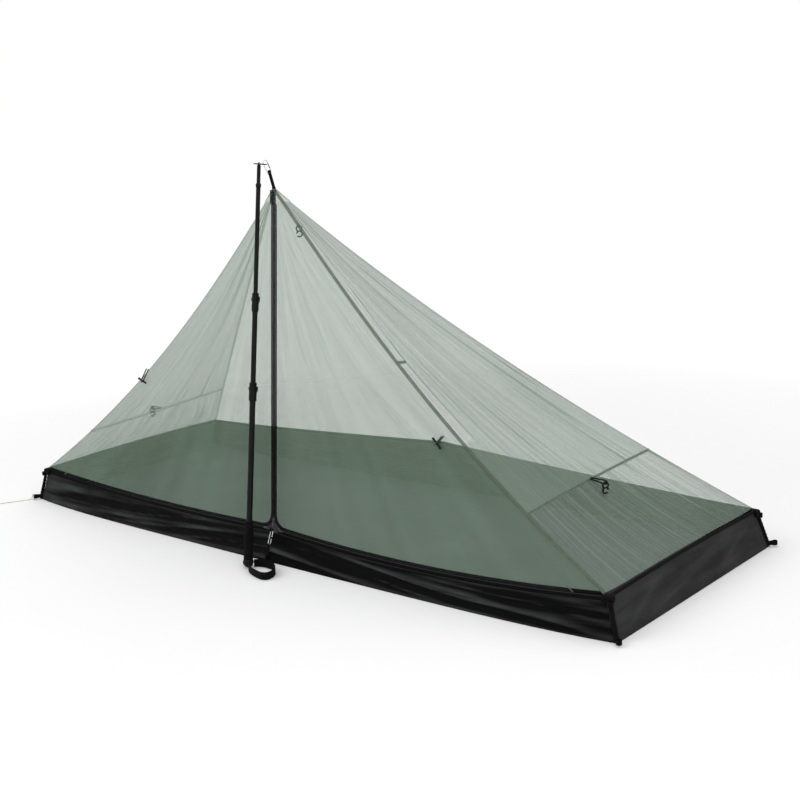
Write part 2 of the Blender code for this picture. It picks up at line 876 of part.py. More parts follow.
def fold_lean():
    """How far the fold line runs sideways for each unit that it rises."""
    top = fold_point(1, 0.0)
    low = fold_point(1, 1.0)
    return (low.x - top.x) / (top.z - low.z)


def door_place(side):
    def left(v):
        return door_edge(side, PANEL_INSET, DOOR_CORNER_SHARES[0] * v)

    low_share = 1 - PANEL_INSET / (fold_point(side, 0.0).z - fold_point(side, 1.0).z)

    def right(v):
        spot = fold_point(side, DOOR_TOP_SHARE + (low_share - DOOR_TOP_SHARE) * v)
        return spot - Vector((side * FOLD_GAP * (1 + fold_lean() ** 2) ** 0.5, 0.0, 0.0))

    def bottom(u):
        start = DOOR_CORNER_SHARES[0]
        spot = door_edge(side, PANEL_INSET, start + (1 - start) * u)
        return spot + (right(1) - door_edge(side, PANEL_INSET, 1.0)) * u**6

    place = coons(left, right, straight(left(0), right(0)), bottom)

    def shaped(u, v):
        spot = place(u, v)
        ripple = PLEAT_DEPTH * hump(u) * hump(v) * math.sin(8 * math.pi * u) / 2
        return spot - ZIP_OUT * ripple

    return shaped


def strip_place(side):
    low = fold_point(side, 1.0).z + TAPE_INSET

    def inner(v):
        height = PATCH_BASE - SEAM_GAP + (low - PATCH_BASE + SEAM_GAP) * v
        spot = zip_line(height) + Vector((side * PANEL_INSET, 0.0, 0.0))
        fold = fold_at(side, height)
        fold.x += side * FOLD_GAP * (1 + fold_lean() ** 2) ** 0.5
        return fold if side * fold.x > side * spot.x else spot

    stop = ridge_share(CORNER_HEIGHT + WALL_TRIM)

    def outer(v):
        t = TOP_SHARE + (stop - TOP_SHARE) * v
        spot = ridge(side, -1, t)
        return trimmed(spot, zip_line(spot.z), RIDGE_TAPE_R / 2)

    return coons(inner, outer, straight(inner(0), outer(0)), straight(inner(1), outer(1)))


def tape_place(route, width_start):
    """A flat tape from a route's own inset inwards, where route(inset, share) gives its points."""

    def place(u, v):
        return route(width_start + TAPE_REACH * v, u)

    return place


def along(share):
    """A share of a tape's length, a little short at both ends of the coil that it holds."""
    return TAPE_TRIM_SHARE + (1 - 2 * TAPE_TRIM_SHARE) * share


for side, word in ((-1, "left"), (1, "right")):
    cloth(f"door_{word}", door_place(side), DOOR_GRID, NET, net_cloth)
    strip = cloth("strip", strip_place(side), STRIP_GRID, NET, net_cloth)
    unite(f"ridge_strip_{word}", [strip, ridge_tube(side, -1)], net_cloth)

    def door_route(inset, share, side=side):
        return door_edge(side, inset, along(share))

    tape = cloth("tape", tape_place(door_route, COIL_INSET), (ZIP_STEPS, 1), TAPE, seam_tape)
    coil = tubes("coil", [[door_edge(side, COIL_INSET, s) for s in steps(ZIP_STEPS)]], COIL_R, zip_coil)
    unite(f"zip_door_{word}", [coil, tape], zip_coil)

    span = zip_arc(1, 1).x
    first = SLIDER_PARK / 2 / span
    last = 1 - ZIP_END_TRIM / span
    from_fold = FOLD_END_SHARE + FOLD_GAP / span

    def wall_route(inset, share, side=side, first=first, last=last):
        return zip_arc(side, first + (last - first) * along(share), inset)

    tape = cloth("tape", tape_place(wall_route, -COIL_INSET - TAPE_REACH), (EDGE_STEPS, 1), TAPE, seam_tape)
    low = [zip_arc(side, first + (last - first) * s, -COIL_INSET) for s in steps(EDGE_STEPS)]
    high = [zip_arc(side, from_fold + (last - from_fold) * s, COIL_INSET) for s in steps(3)]
    pieces = [tubes("coil", [route], COIL_R, zip_coil) for route in (low, high)]
    end = zip_arc(side, last)
    frame = axes(end, zip_arc(side, 1) - end, zip_arc(side, last, COIL_INSET) - end)
    stop = block("stop", (STOP_LENGTH, STOP_WIDTH, STOP_HEIGHT), cutters, frame)
    unite(f"zip_wall_{word}", [pieces[0], tape, stop, pieces[1]], zip_coil)


# Zip sliders and pulls. A slider is two plates on a post, and the coils run between the plates
# on either side of the post.
def rectangle(left, right, half):
    return [(left, -half), (right, -half), (right, half), (left, half)]


def circle(centre, radius, count=16):
    return arc(centre, radius, 0.0, 2 * math.pi * (1 - 1 / count), count - 1)


SLIDER_FACE = COIL_R + SLIDER_PLAY + SLIDER_PLATE
HINGE_RISE = SLIDER_FACE + BAIL_R - BAIL_SUNK


hinges = {}


def slider_and_pull(word, spot, across, out, hang):
    """A slider on the zip at spot, with a bail on its face, and the tab whose end bar the bail holds."""
    along_zip = across.cross(out)
    room = COIL_R + SLIDER_PLAY
    plate_size = (SLIDER_WIDTH, SLIDER_PLATE, SLIDER_LENGTH)
    pieces = []
    for face in (1, -1):
        middle = spot + out * (face * (room + SLIDER_PLATE / 2))
        pieces.append(block("plate", plate_size, cutters, axes(middle, across, out)))
    post_size = (SLIDER_POST, 2 * room + SLIDER_PLATE, SLIDER_LENGTH - SLIDER_PLATE)
    pieces.insert(1, block("post", post_size, cutters, axes(spot, across, out)))
    hinge = spot + out * HINGE_RISE
    rings = [circle((0.0, 0.0), BAIL_R), circle((0.0, 0.0), BAIL_BORE_R)]
    bail = outline("bail", rings, BAIL_WIDTH, bright_steel, axes(hinge, out, along_zip))
    unite(f"zip_slider_{word}", pieces + [bail], bright_steel)
    r = PULL_WIDTH / 2
    half_bar = PULL_BAR / 2
    tip = arc((PULL_LENGTH - r, 0.0), r, -math.pi / 2, math.pi / 2, 8)
    tab = [(-half_bar, -r)] + tip + [(-half_bar, r)]
    window = rectangle(half_bar, half_bar + PULL_WINDOW, PULL_WINDOW_WIDTH / 2)
    outline(f"zip_pull_{word}", [tab, window], PULL_THICK, bright_steel, axes(hinge, hang, across))
    hinges[f"pull_{word}"] = (hinge, hang.cross(out))


slider_and_pull(
    "center", zip_line(ZIP_FOOT_HEIGHT + SLIDER_PARK), Vector((-1.0, 0.0, 0.0)), ZIP_OUT, -ZIP_UP
)
for side, word in ((-1, "left"), (1, "right")):
    centre, radius, half, chord, up = arc_frame(side)
    spot = zip_arc(side, SLIDER_PARK / zip_arc(1, 1).x)
    across = (centre - spot).normalized()
    face = across.cross(chord).normalized() * side
    tangent = across.cross(face) * side
    slider_and_pull(word, spot, across, -face, tangent if tangent.x * side > 0 else -tangent)


# Apex patch, webbing, carabiner and eyelet tab
def apex_pyramid():
    shape = bmesh.new()
    bmesh.ops.create_cone(shape, cap_ends=True, segments=4, radius1=1, radius2=0.5, depth=1)
    bmesh.ops.rotate(shape, verts=shape.verts, matrix=Matrix.Rotation(math.pi / 4, 3, "Z"))
    t = ridge_share(PATCH_BASE)
    for corner in shape.verts:
        side = 1 if corner.co.x > 0 else -1
        depth = 1 if corner.co.y > 0 else -1
        if corner.co.z < 0:
            spot = ridge(side, depth, t) + Vector((side, depth, 0.0)) * PATCH_LAP
            spot.z = PATCH_BASE
        else:
            spot = APEX + Vector((side, depth, 0.0)) * PATCH_TOP / 2
        corner.co = spot
    mesh = bpy.data.meshes.new("pyramid")
    shape.to_mesh(mesh)
    shape.free()
    return keep("pyramid", mesh, seam_tape)


def zip_head():
    """The short closed head of the upright zip, between the tops of the doors and the patch."""
    low = fold_point(1, DOOR_TOP_SHARE).z + HEAD_GAP
    high = PATCH_BASE + PATCH_HEIGHT / 6
    made = []
    for side in (-1, 1):

        def head_place(u, v, side=side):
            spot = zip_line(low + TOUCH + (high - TOUCH - low) * v)
            return spot + Vector((side * (COIL_INSET + TAPE_REACH * u), 0.0, 0.0))

        made.append(cloth("tape", head_place, (1, 2), TAPE, seam_tape))
        shift = Vector((side * COIL_INSET, 0.0, 0.0))
        ends = [zip_line(low) + shift, zip_line(high + TOUCH) + shift]
        made.append(tubes("coil", [ends], COIL_R, zip_coil))
    return made


unite("apex_patch", [apex_pyramid()] + zip_head(), seam_tape)

# Where the pole stands and where its tip holds the tab
POLE_FOOT = Vector((-POLE_SHIFT, -WIDTH / 2 - POLE_STANDOFF, CAP_R + TOUCH))
POLE_TOP = APEX + Vector((-POLE_SHIFT, -POLE_LEAD, POLE_RISE))
POLE_AXIS = (POLE_TOP - POLE_FOOT).normalized()
POLE_LENGTH = (POLE_TOP - POLE_FOOT).length + CAP_R
SHOULDER = POLE_LENGTH - TIP_LENGTH
TETHER_SIDE = (APEX - POLE_FOOT - POLE_AXIS * (APEX - POLE_FOOT).dot(POLE_AXIS)).normalized()


def pole_point(height):
    """A point on the pole's axis, by its distance from the ground end."""
    return POLE_FOOT + POLE_AXIS * (height - CAP_R)


TAB_LEVEL = SHOULDER + TOUCH + EYELET_FLANGE + TOUCH + EYELET_TAB_THICK / 2
TAB_SPOT = pole_point(TAB_LEVEL)
TAB_HOLE = TAB_SPOT + TETHER_SIDE * (EYELET_TAB_LENGTH - EYELET_SETBACK - TAB_END - TAB_HOLE_R)
tab_frame = axes(TAB_SPOT, TETHER_SIDE, POLE_AXIS.cross(TETHER_SIDE))
hole_x = (TAB_HOLE - TAB_SPOT).length
outline(
    "eyelet_tab",
    [
        stadium(EYELET_TAB_LENGTH, EYELET_TAB_WIDTH, -EYELET_SETBACK),
        circle((0.0, 0.0), EYELET_BORE_R + EYELET_BARREL + TOUCH, TUBE_SIDES),
        circle((hole_x, 0.0), TAB_HOLE_R),
    ],
    EYELET_TAB_THICK,
    black_webbing,
    tab_frame,
)
half_tab = EYELET_TAB_THICK / 2 + TOUCH
half_ring = half_tab + EYELET_FLANGE
barrel = EYELET_BORE_R + EYELET_BARREL
ring = turned(
    "eyelet_ring",
    [
        (EYELET_BORE_R, half_ring),
        (EYELET_FLANGE_R, half_ring),
        (EYELET_FLANGE_R, half_tab),
        (barrel, half_tab),
        (barrel, -half_tab),
        (EYELET_FLANGE_R, -half_tab),
        (EYELET_FLANGE_R, -half_ring),
        (EYELET_BORE_R, -half_ring),
    ],
    bright_steel,
    closed=True,
)
ring.matrix_world = tab_frame

# The tether runs from the top of the patch to the hole in the tab
TETHER = (TAB_HOLE - APEX).normalized()
TETHER_WIDE = (TETHER_SIDE - TETHER * TETHER_SIDE.dot(TETHER)).normalized()
ARM = CARABINER_WIDTH / 2
RING_TOP = TAB_HOLE + TETHER * (ARM + CARABINER_WIRE_R + EYELET_TAB_THICK / 2)
RING_SHIFT = TETHER_WIDE * (ARM + CARABINER_OFFSET)
RING_FRAME = axes(RING_TOP + RING_SHIFT, -TETHER, TETHER_WIDE)


def carabiner_route():
    """The body's wire as an open loop: the gate closes the gap in its inner arm."""
    r = CARABINER_WIDTH / 2
    q = CARABINER_FOOT_R
    far = CARABINER_LENGTH - q
    gate_low = GATE_SHIFT + r
    gate_high = gate_low + GATE_LENGTH
    top = arc((r, 0.0), r, math.pi / 2, 3 * math.pi / 2)
    foot = arc((far, q - r), q, -math.pi / 2, 0.0, 5) + arc((far, r - q), q, 0.0, math.pi / 2, 5)
    flat = [(gate_low, r)] + top + foot + [(gate_high, r)]
    return [RING_FRAME @ Vector((x, y, 0.0)) for x, y in flat], gate_low, gate_high


route, gate_low, gate_high = carabiner_route()
tubes("carabiner", [route], CARABINER_WIRE_R, bright_steel)
GATE_HINGE = RING_FRAME @ Vector((gate_high - TOUCH, ARM, 0.0))
GATE_NOSE = RING_FRAME @ Vector((gate_low + TOUCH, ARM, 0.0))
tubes("carabiner_gate", [[GATE_NOSE, GATE_HINGE]], CARABINER_WIRE_R, black_plastic)

web_foot = APEX + UP * TOUCH
web_line = RING_FRAME @ Vector((CARABINER_LENGTH - 2 * CARABINER_WIRE_R, 0.0, 0.0)) - web_foot
WEB_REACH = web_line.length + 3 * CARABINER_WIRE_R + TOUCH + WEBBING
web_inside = 2 * (CARABINER_WIRE_R + TOUCH)
web_frame = axes(web_foot + UP * WEBBING, web_line, web_line.cross(TETHER_WIDE))
outline(
    "apex_webbing",
    [
        stadium(WEB_REACH, web_inside + 2 * WEBBING),
        stadium(WEB_REACH - 2 * WEBBING, web_inside, WEBBING),
    ],
    WEBBING_WIDTH,
    black_webbing,
    web_frame,
)

# Trekking pole, upside down: its grip stands on the ground and its tip is in the eyelet
POLE_FRAME = axes(
    POLE_FOOT - POLE_AXIS * CAP_R, Vector((1.0, 0.0, 0.0)), POLE_AXIS.cross(Vector((1.0, 0.0, 0.0)))
)


def dome(radius, steps_round=6):
    """A rounded ground end, from its rim down to the axis."""
    turns = [math.pi / 2 * i / steps_round for i in range(1, steps_round + 1)]
    return [(radius * math.cos(a), radius - radius * math.sin(a)) for a in turns]


def on_pole(made):
    made.matrix_world = POLE_FRAME
    return made


cap_profile = [(0.0, CAP_LENGTH), (GRIP_R, CAP_LENGTH), (CAP_R, CAP_R)] + dome(CAP_R)
cap_profile[-1] = (0.0, 0.0)
on_pole(turned("pole_grip_cap", cap_profile, black_plastic))

grip_bore = LOWER_TUBE_R + TOUCH
grip_foot = CAP_LENGTH + TOUCH
neck_foot = GRIP_LENGTH - NECK_LENGTH
grip_rise = neck_foot - grip_foot
grip_profile = [
    (grip_bore, GRIP_LENGTH),
    (GRIP_NECK_R, GRIP_LENGTH),
    (GRIP_NECK_R, neck_foot + NECK_LENGTH / 6),
    (GRIP_WAIST_R, neck_foot),
    (GRIP_WAIST_R, grip_foot + grip_rise * GRIP_WAVE_SHARES[0]),
    (GRIP_R, grip_foot + grip_rise * GRIP_WAVE_SHARES[1]),
    (GRIP_WAIST_R, grip_foot + grip_rise * GRIP_WAVE_SHARES[2]),
    (GRIP_R, grip_foot),
    (grip_bore, grip_foot),
]
on_pole(turned("pole_grip", grip_profile, grip_foam, closed=True))


def hollow(name, outer, inner, low, high, mat):
    return on_pole(
        turned(name, [(inner, high), (outer, high), (outer, low), (inner, low)], mat, closed=True)
    )


LOWER_TOP = LOWER_REACH
UPPER_TOP = LOWER_REACH + MIDDLE_REACH
LOWER_BORE = LOWER_TUBE_R - TUBE_WALL
MIDDLE_BORE = MIDDLE_TUBE_R - TUBE_WALL
hollow("pole_lower_tube", LOWER_TUBE_R, LOWER_BORE, grip_foot, LOWER_TOP - CLAMP_LIP - TOUCH, tube_metal)
hollow(
    "pole_middle_tube",
    MIDDLE_TUBE_R,
    MIDDLE_BORE,
    LOWER_TOP - MIDDLE_HIDDEN,
    UPPER_TOP - CLAMP_LIP - TOUCH,
    tube_metal,
)
FERRULE_FOOT = SHOULDER - FERRULE_LENGTH
hollow(
    "pole_tip_tube",
    TIP_TUBE_R,
    TIP_TUBE_R - TUBE_WALL,
    UPPER_TOP - TIP_HIDDEN,
    FERRULE_FOOT - TOUCH,
    tube_metal,
)
ferrule_profile = [
    (0.0, POLE_LENGTH),
    (TIP_R * TAPER_SHARE, POLE_LENGTH),
    (TIP_R, SHOULDER + TIP_LENGTH / 2),
    (TIP_R, SHOULDER),
    (FERRULE_R * TAPER_SHARE, SHOULDER),
    (FERRULE_R, SHOULDER - TIP_LENGTH / 2),
    (FERRULE_R, FERRULE_FOOT + COLLAR_LENGTH * (1 + COLLAR_SLOPE_SHARE)),
    (COLLAR_R, FERRULE_FOOT + COLLAR_LENGTH),
    (COLLAR_R, FERRULE_FOOT + COLLAR_LENGTH / 3),
    (TIP_TUBE_R, FERRULE_FOOT),
    (0.0, FERRULE_FOOT),
]
on_pole(turned("pole_ferrule", ferrule_profile, black_plastic))


def clamp(name, top, tube, inner_tube):
    """A lever clamp: a sleeve round the end of a tube, with two ears and the pin between them."""
    bore = tube + TOUCH
    lip = inner_tube + TUBE_PLAY
    shell = bore + CLAMP_WALL
    low = top - CLAMP_LENGTH
    profile = [
        (lip, top),
        (shell, top),
        (shell, low + CLAMP_WALL),
        (bore + CLAMP_WALL / 2, low),
        (bore, low),
        (bore, top - CLAMP_LIP),
        (lip, top - CLAMP_LIP),
    ]
    sleeve = turned(name, profile, black_plastic, closed=True)
    level = top - LEVER_DROP
    pivot = shell + LEVER_STANDOFF + LEVER_PLAY + LEVER_EYE_R
    ear_reach = pivot + PIN_R * 2 - bore - CLAMP_WALL / 2
    ear_middle = bore + CLAMP_WALL / 2 + ear_reach / 2
    ears = block(name + "_ears", (ear_reach, EAR_WIDTH, EAR_HEIGHT), cutters)
    ears.location = (ear_middle, 0.0, level)
    slot_height = LEVER_HEIGHT + 2 * LEVER_PLAY
    slot = block(name + "_slot", (ear_reach, EAR_WIDTH * 2, slot_height), cutters)
    slot.location = (ear_middle + CLAMP_WALL / 2 - LEVER_PLAY, 0.0, level)
    pin = rod(name + "_pin", PIN_R, EAR_HEIGHT - PIN_R, cutters)
    pin.location = (pivot, 0.0, level)
    bpy.context.view_layer.update()
    join_or_cut(sleeve, ears, "UNION")
    join_or_cut(sleeve, slot, "DIFFERENCE")
    join_or_cut(sleeve, pin, "UNION")
    for tool in (ears, slot, pin):
        tool.matrix_world = POLE_FRAME @ tool.matrix_world
    on_pole(sleeve)
    return shell, pivot, level


def lever(name, shell, pivot, level):
    """A curved lever that lies round the sleeve and turns about the pin."""
    inner = shell + LEVER_STANDOFF
    outer = inner + LEVER_THICK
    eye = LEVER_EYE_R
    eye_angle = math.asin(eye / pivot)
    eye_arc = arc((pivot, 0.0), eye, LEVER_EYE_START, LEVER_EYE_STOP)
    outer_arc = arc((0.0, 0.0), outer, eye_angle * LEVER_ROOT_SHARES[0], LEVER_WRAP, 14)
    inner_arc = arc((0.0, 0.0), inner, LEVER_WRAP, eye_angle * LEVER_ROOT_SHARES[1], 14)
    hole = circle((pivot, 0.0), PIN_R + LEVER_PLAY, 12)
    frame = POLE_FRAME @ Matrix.Translation((0.0, 0.0, level))
    outline(name, [eye_arc + outer_arc + inner_arc, hole], LEVER_HEIGHT, black_plastic, frame)
    hinges[name] = (POLE_FRAME @ Vector((pivot, 0.0, level)), -POLE_AXIS)


lever("pole_lower_lever", *clamp("pole_lower_clamp", LOWER_TOP, LOWER_TUBE_R, MIDDLE_TUBE_R))
lever("pole_upper_lever", *clamp("pole_upper_clamp", UPPER_TOP, MIDDLE_TUBE_R, TIP_TUBE_R))


# Wrist strap: a webbing loop that lies on its edge on the ground beside the grip
def eased(route, share):
    """A point on a smooth curve through a route's points, by its share of their number."""
    place = share * (len(route) - 1)
    i = min(int(place), len(route) - 2)
    s = place - i
    before, start, stop, after = (
        Vector(route[max(0, min(len(route) - 1, k))]) for k in (i - 1, i, i + 1, i + 2)
    )
    bend = before * -1 + start * 3 - stop * 3 + after
    lift = before * 2 - start * 5 + stop * 4 - after
    return start + ((stop - before) * s + lift * s**2 + bend * s**3) / 2


def strap_place(u, v):
    spot = eased(STRAP_ROUTE, u)
    return Vector((POLE_FOOT.x + spot.x, POLE_FOOT.y + spot.y, TOUCH + STRAP_HEIGHT * v))


cloth("wrist_strap", strap_place, STRAP_GRID, STRAP_THICK, black_webbing)


# Front foot clip: a loop at the zip foot, a wire hook and the webbing that holds it to the ground edge
FOOT_LOOP_TOP = ZIP_FOOT + ZIP_OUT * (SLIDER_FACE + TOUCH)
foot_low = Vector((0.0, ground_edge(0.0) - SEAM_GAP - WEBBING / 2, SHEET + TOUCH))
foot_line = (FOOT_LOOP_TOP - foot_low).normalized()
FOOT_OUT = Vector((-1.0, 0.0, 0.0)).cross(foot_line)
if FOOT_OUT.y > 0:
    FOOT_OUT = -FOOT_OUT
hook_top = FOOT_LOOP_TOP + FOOT_OUT * FOOT_HOOK_STANDOFF
hook_top -= foot_line * (FOOT_LOOP_LENGTH * FOOT_LOOP_DROP_SHARE)
hook_frame = axes(hook_top, -foot_line, Vector((1.0, 0.0, 0.0)))


def hook_route():
    """A long closed eye of wire with its two ends side by side at one arm."""
    r = FOOT_HOOK_WIDTH / 2
    far = FOOT_HOOK_LENGTH - r
    top = arc((r, 0.0), r, math.pi / 2, 3 * math.pi / 2)
    foot = arc((far, 0.0), r, -math.pi / 2, math.pi / 2)
    gap = FOOT_HOOK_WIRE_R * 2
    middle_x = FOOT_HOOK_LENGTH / 2
    flat = [(middle_x - gap, r)] + top + foot + [(middle_x + gap, r)]
    return [hook_frame @ Vector((x, y, 0.0)) for x, y in flat]


tubes("foot_hook", [hook_route()], FOOT_HOOK_WIRE_R, bright_steel)


def webbing_loop(name, frame, reach, wire, width):
    """Doubled webbing round a wire, as one closed loop along X."""
    inside = 2 * (wire + TOUCH)
    return outline(
        name,
        [stadium(reach, inside + 2 * WEBBING), stadium(reach - 2 * WEBBING, inside, WEBBING)],
        width,
        black_webbing,
        frame,
    )


hook_room = FOOT_HOOK_WIDTH - 4 * FOOT_HOOK_WIRE_R
wire_run = FOOT_HOOK_WIRE_R * 2 + TOUCH + WEBBING
lower_end = hook_top - foot_line * FOOT_HOOK_LENGTH
lower_reach = (lower_end - foot_low).dot(foot_line) + wire_run
upper_frame = axes(hook_top - foot_line * wire_run, foot_line, FOOT_OUT)
lower_frame = axes(lower_end + foot_line * wire_run, -foot_line, FOOT_OUT)
webbing_loop("foot_loop", upper_frame, FOOT_LOOP_LENGTH, FOOT_HOOK_WIRE_R, hook_room)
webbing_loop("foot_strap", lower_frame, lower_reach, FOOT_HOOK_WIRE_R, hook_room)


# Corner webbing: up each corner of the walls, with a loop at its top and a stake loop on the ground
def tear(length):
    """The two outlines of a webbing loop that is sewn flat at x = 0."""
    r = LOOP_WIDTH / 2
    outer = arc((length - r, 0.0), r, LOOP_WRAP, -LOOP_WRAP)
    inner = arc((length - r, 0.0), r - LOOP_WEB, LOOP_WRAP, -LOOP_WRAP)
    neck = LOOP_WEB * LOOP_NECK_SHARES[0]
    start = LOOP_WEB * LOOP_NECK_SHARES[1]
    return [
        [(0.0, neck)] + outer + [(0.0, -neck)],
        [(start, neck / 4)] + inner + [(start, -neck / 4)],
    ]


def guyed_direction():
    """The way that the guy cord pulls the front left stake loop."""
    return Matrix.Rotation(GUYED_LOOP_TURN, 3, "Z") @ Vector((-1.0, -1.0, 0.0)).normalized()


def corner_webbing(side, depth, word):
    foot = corner_foot(side, depth)
    top = corner_top(side, depth)
    run = (top - foot).normalized()
    outward = Vector((side, depth, 0.0)).normalized()
    lean = Vector((run.x, run.y, 0.0)).length * CORNER_WEB_R
    ends = [foot + run * (SHEET + TOUCH + lean) / run.z, top - run * POST_TRIM]
    post = tubes("post", [ends], CORNER_WEB_R, black_webbing, 3)
    level = foot.lerp(top, 1 - TOP_LOOP_DROP / CORNER_HEIGHT)
    sideways = UP.cross(outward)
    upper = outline(
        "upper", tear(TOP_LOOP_LENGTH), LOOP_HEIGHT, black_webbing, axes(level, outward, sideways)
    )
    ahead = guyed_direction() if (side, depth) == (-1, -1) else outward
    low = foot + UP * (STAKE_LOOP_RISE + LOOP_HEIGHT / 2)
    lower = outline(
        "lower", tear(STAKE_LOOP_LENGTH), LOOP_HEIGHT, black_webbing, axes(low, ahead, UP.cross(ahead))
    )
    unite(f"corner_webbing_{word}", [post, upper, lower], black_webbing)


for side, depth in SIDES:
    place_name = ("front" if depth < 0 else "back") + ("_left" if side < 0 else "_right")
    corner_webbing(side, depth, place_name)


# Figure-of-eight hooks on elastic loops: one at each end seam and one inside near the apex
def figure_eight(name, frame, mat):
    """Two rings, the lower one open at its side. Frame: X down the hook from its upper ring's centre."""
    r_out = HOOK_RING_R + HOOK_WIRE_R
    r_in = HOOK_RING_R - HOOK_WIRE_R
    waist = math.acos(HOOK_SPACING / 2 / r_out)
    mouth = math.pi / 2
    upper = arc((0.0, 0.0), r_out, waist, 2 * math.pi - waist, 18)
    low = (HOOK_SPACING, 0.0)
    before = arc(low, r_out, math.pi + waist, 2 * math.pi + mouth - HOOK_MOUTH, 14)
    around = arc(low, r_in, 2 * math.pi + mouth - HOOK_MOUTH, mouth + HOOK_MOUTH / 4, 16)
    after = arc(low, r_out, mouth + HOOK_MOUTH / 4, math.pi - waist, 4)
    hole = circle((0.0, 0.0), r_in, 16)
    return outline(name, [upper[:-1] + before + around + after[:-1], hole], 2 * HOOK_WIRE_R, mat, frame)


def elastic_loop(name, start, out, across, reach, far):
    """Two strands from a seam, side by side, that open and turn back on each other round a bar."""
    near = ELASTIC_SPREAD
    centre = start + out * reach
    turn = [
        centre + out * (far * math.cos(a)) + across * (far * math.sin(a))
        for a in [math.pi / 2 - math.pi * s for s in steps(6)]
    ]
    spread = [(s, near + (far - near) * s) for s in steps(STRAND_STEPS)[:-1]]
    upper = [start + out * reach * s + across * wide for s, wide in spread]
    lower = [start + out * reach * s - across * wide for s, wide in spread]
    return tubes(name, [upper + turn + lower[::-1]], ELASTIC_R, black_webbing)


def hang_hook(word, start, centre, mat):
    """A hook whose upper ring hangs in the turn of an elastic loop."""
    run = centre - start
    out = run.normalized()
    sideways = UP.cross(out).normalized()
    far = HOOK_WIRE_R * 2**0.5 + ELASTIC_SLACK + ELASTIC_R
    elastic_loop(f"{word}_cord", start, out, out.cross(sideways), run.length, far)
    hinges[word] = (start, out.cross(UP))
    figure_eight(f"{word}_hook", axes(centre - UP * HOOK_RING_R, -UP, sideways), mat)


for side, word in ((-1, "tieout_left"), (1, "tieout_right")):
    seam = end_seam(side, 0.5)
    out = Vector((side, 0.0, 0.0))
    start = seam + out * (SEAM_TAPE_R + TOUCH) + UP * (ELASTIC_R + ELASTIC_SPREAD + TOUCH)
    hang_hook(word, start, seam + out * TIEOUT_REACH, black_plastic)
lantern_seam = ridge(1, -1, ridge_share(APEX_HEIGHT - LANTERN_DROP))
inward = Vector(LANTERN_WAY)
lantern_start = lantern_seam + inward * (RIDGE_TAPE_R + ELASTIC_R + TOUCH)
hang_hook("lantern", lantern_start, lantern_seam + inward * LANTERN_REACH, grey_plastic)


# Door ties: a toggle on an elastic, sewn to the right door and to the left ridge seam
def front_point(side, setback, height):
    """A point on the flat of a front panel, a little way in from the fold at that height."""
    edge = fold_at(side, height)
    return zip_line(height).lerp(edge, 1 - setback / abs(edge.x))


def toggle_profile():
    end = TOGGLE_LENGTH / 2
    chamfer = TOGGLE_R / 2
    return [
        (0.0, end),
        (TOGGLE_R - chamfer, end),
        (TOGGLE_R, end - chamfer),
        (TOGGLE_R * TOGGLE_WAIST_SHARE, chamfer),
        (TOGGLE_R * TOGGLE_WAIST_SHARE, -chamfer),
        (TOGGLE_R, chamfer - end),
        (TOGGLE_R - chamfer, -end),
        (0.0, -end),
    ]


def door_tie(word, start, foot, lift):
    """start is on the cloth and foot the point on it below the bar, which is lifted clear."""
    far = TOGGLE_R * TOGGLE_WAIST_SHARE + ELASTIC_SLACK + ELASTIC_R
    first = start + ZIP_OUT * (NET / 2 + TOUCH + ELASTIC_R + ELASTIC_SPREAD)
    centre = foot + ZIP_OUT * (NET / 2 + TOGGLE_CLEAR + ELASTIC_R + far + lift)
    run = centre - first
    out = run.normalized()
    bar_line = out.cross(ZIP_OUT).normalized()
    across = bar_line.cross(out)
    elastic_loop(f"toggle_cord_{word}", first, out, across, run.length, far)
    bar = turned(f"toggle_{word}", toggle_profile(), black_plastic, sides=12)
    bar.matrix_world = axes(centre, out, across * -1)
    hinges[f"toggle_{word}"] = (first, bar_line)


right_start = front_point(1, *TOGGLE_RIGHT_ANCHOR) + ZIP_OUT * TOGGLE_RIGHT_LIFT
door_tie("right", right_start, front_point(1, *TOGGLE_RIGHT_SPOT), TOGGLE_RIGHT_LIFT)
left_start = ridge(-1, -1, ridge_share(TOGGLE_LEFT_HEIGHT)) + ZIP_OUT * (RIDGE_TAPE_R + SEAM_GAP)
door_tie("left", left_start, front_point(-1, *TOGGLE_LEFT_SPOT), TOGGLE_LEFT_LIFT)


# Guy cord
def guy_point(share):
    along_loop, sideways, height = eased(GUY_ROUTE, share)
    ahead = guyed_direction()
    spot = corner_foot(-1, -1) + ahead * along_loop + ahead.cross(UP) * -sideways
    return Vector((spot.x, spot.y, height))


tubes("guy_cord", [[guy_point(s) for s in steps(GUY_POINTS)]], GUY_R, pale_cord)


# Joint axes: an empty on each, with its Z along the axis, carries what moves about it
def carry(joint, names, spot, axis, holder=None):
    empty = bpy.data.objects.new(joint, None)
    empty.empty_display_size = CAP_LENGTH
    tent.objects.link(empty)
    frame = Matrix.Translation(spot) @ axis.to_track_quat("Z", "Y").to_matrix().to_4x4()
    empty.matrix_world = frame
    if holder:
        empty.parent = holder
        empty.matrix_parent_inverse = holder.matrix_world.inverted()
    bpy.context.view_layer.update()
    carried = [bpy.data.objects[name] for name in names]
    tools = [step.object for piece in carried for step in piece.modifiers if step.type == "BOOLEAN"]
    for piece in carried + tools:
        piece.parent = empty
        piece.matrix_parent_inverse = frame.inverted()
    return empty


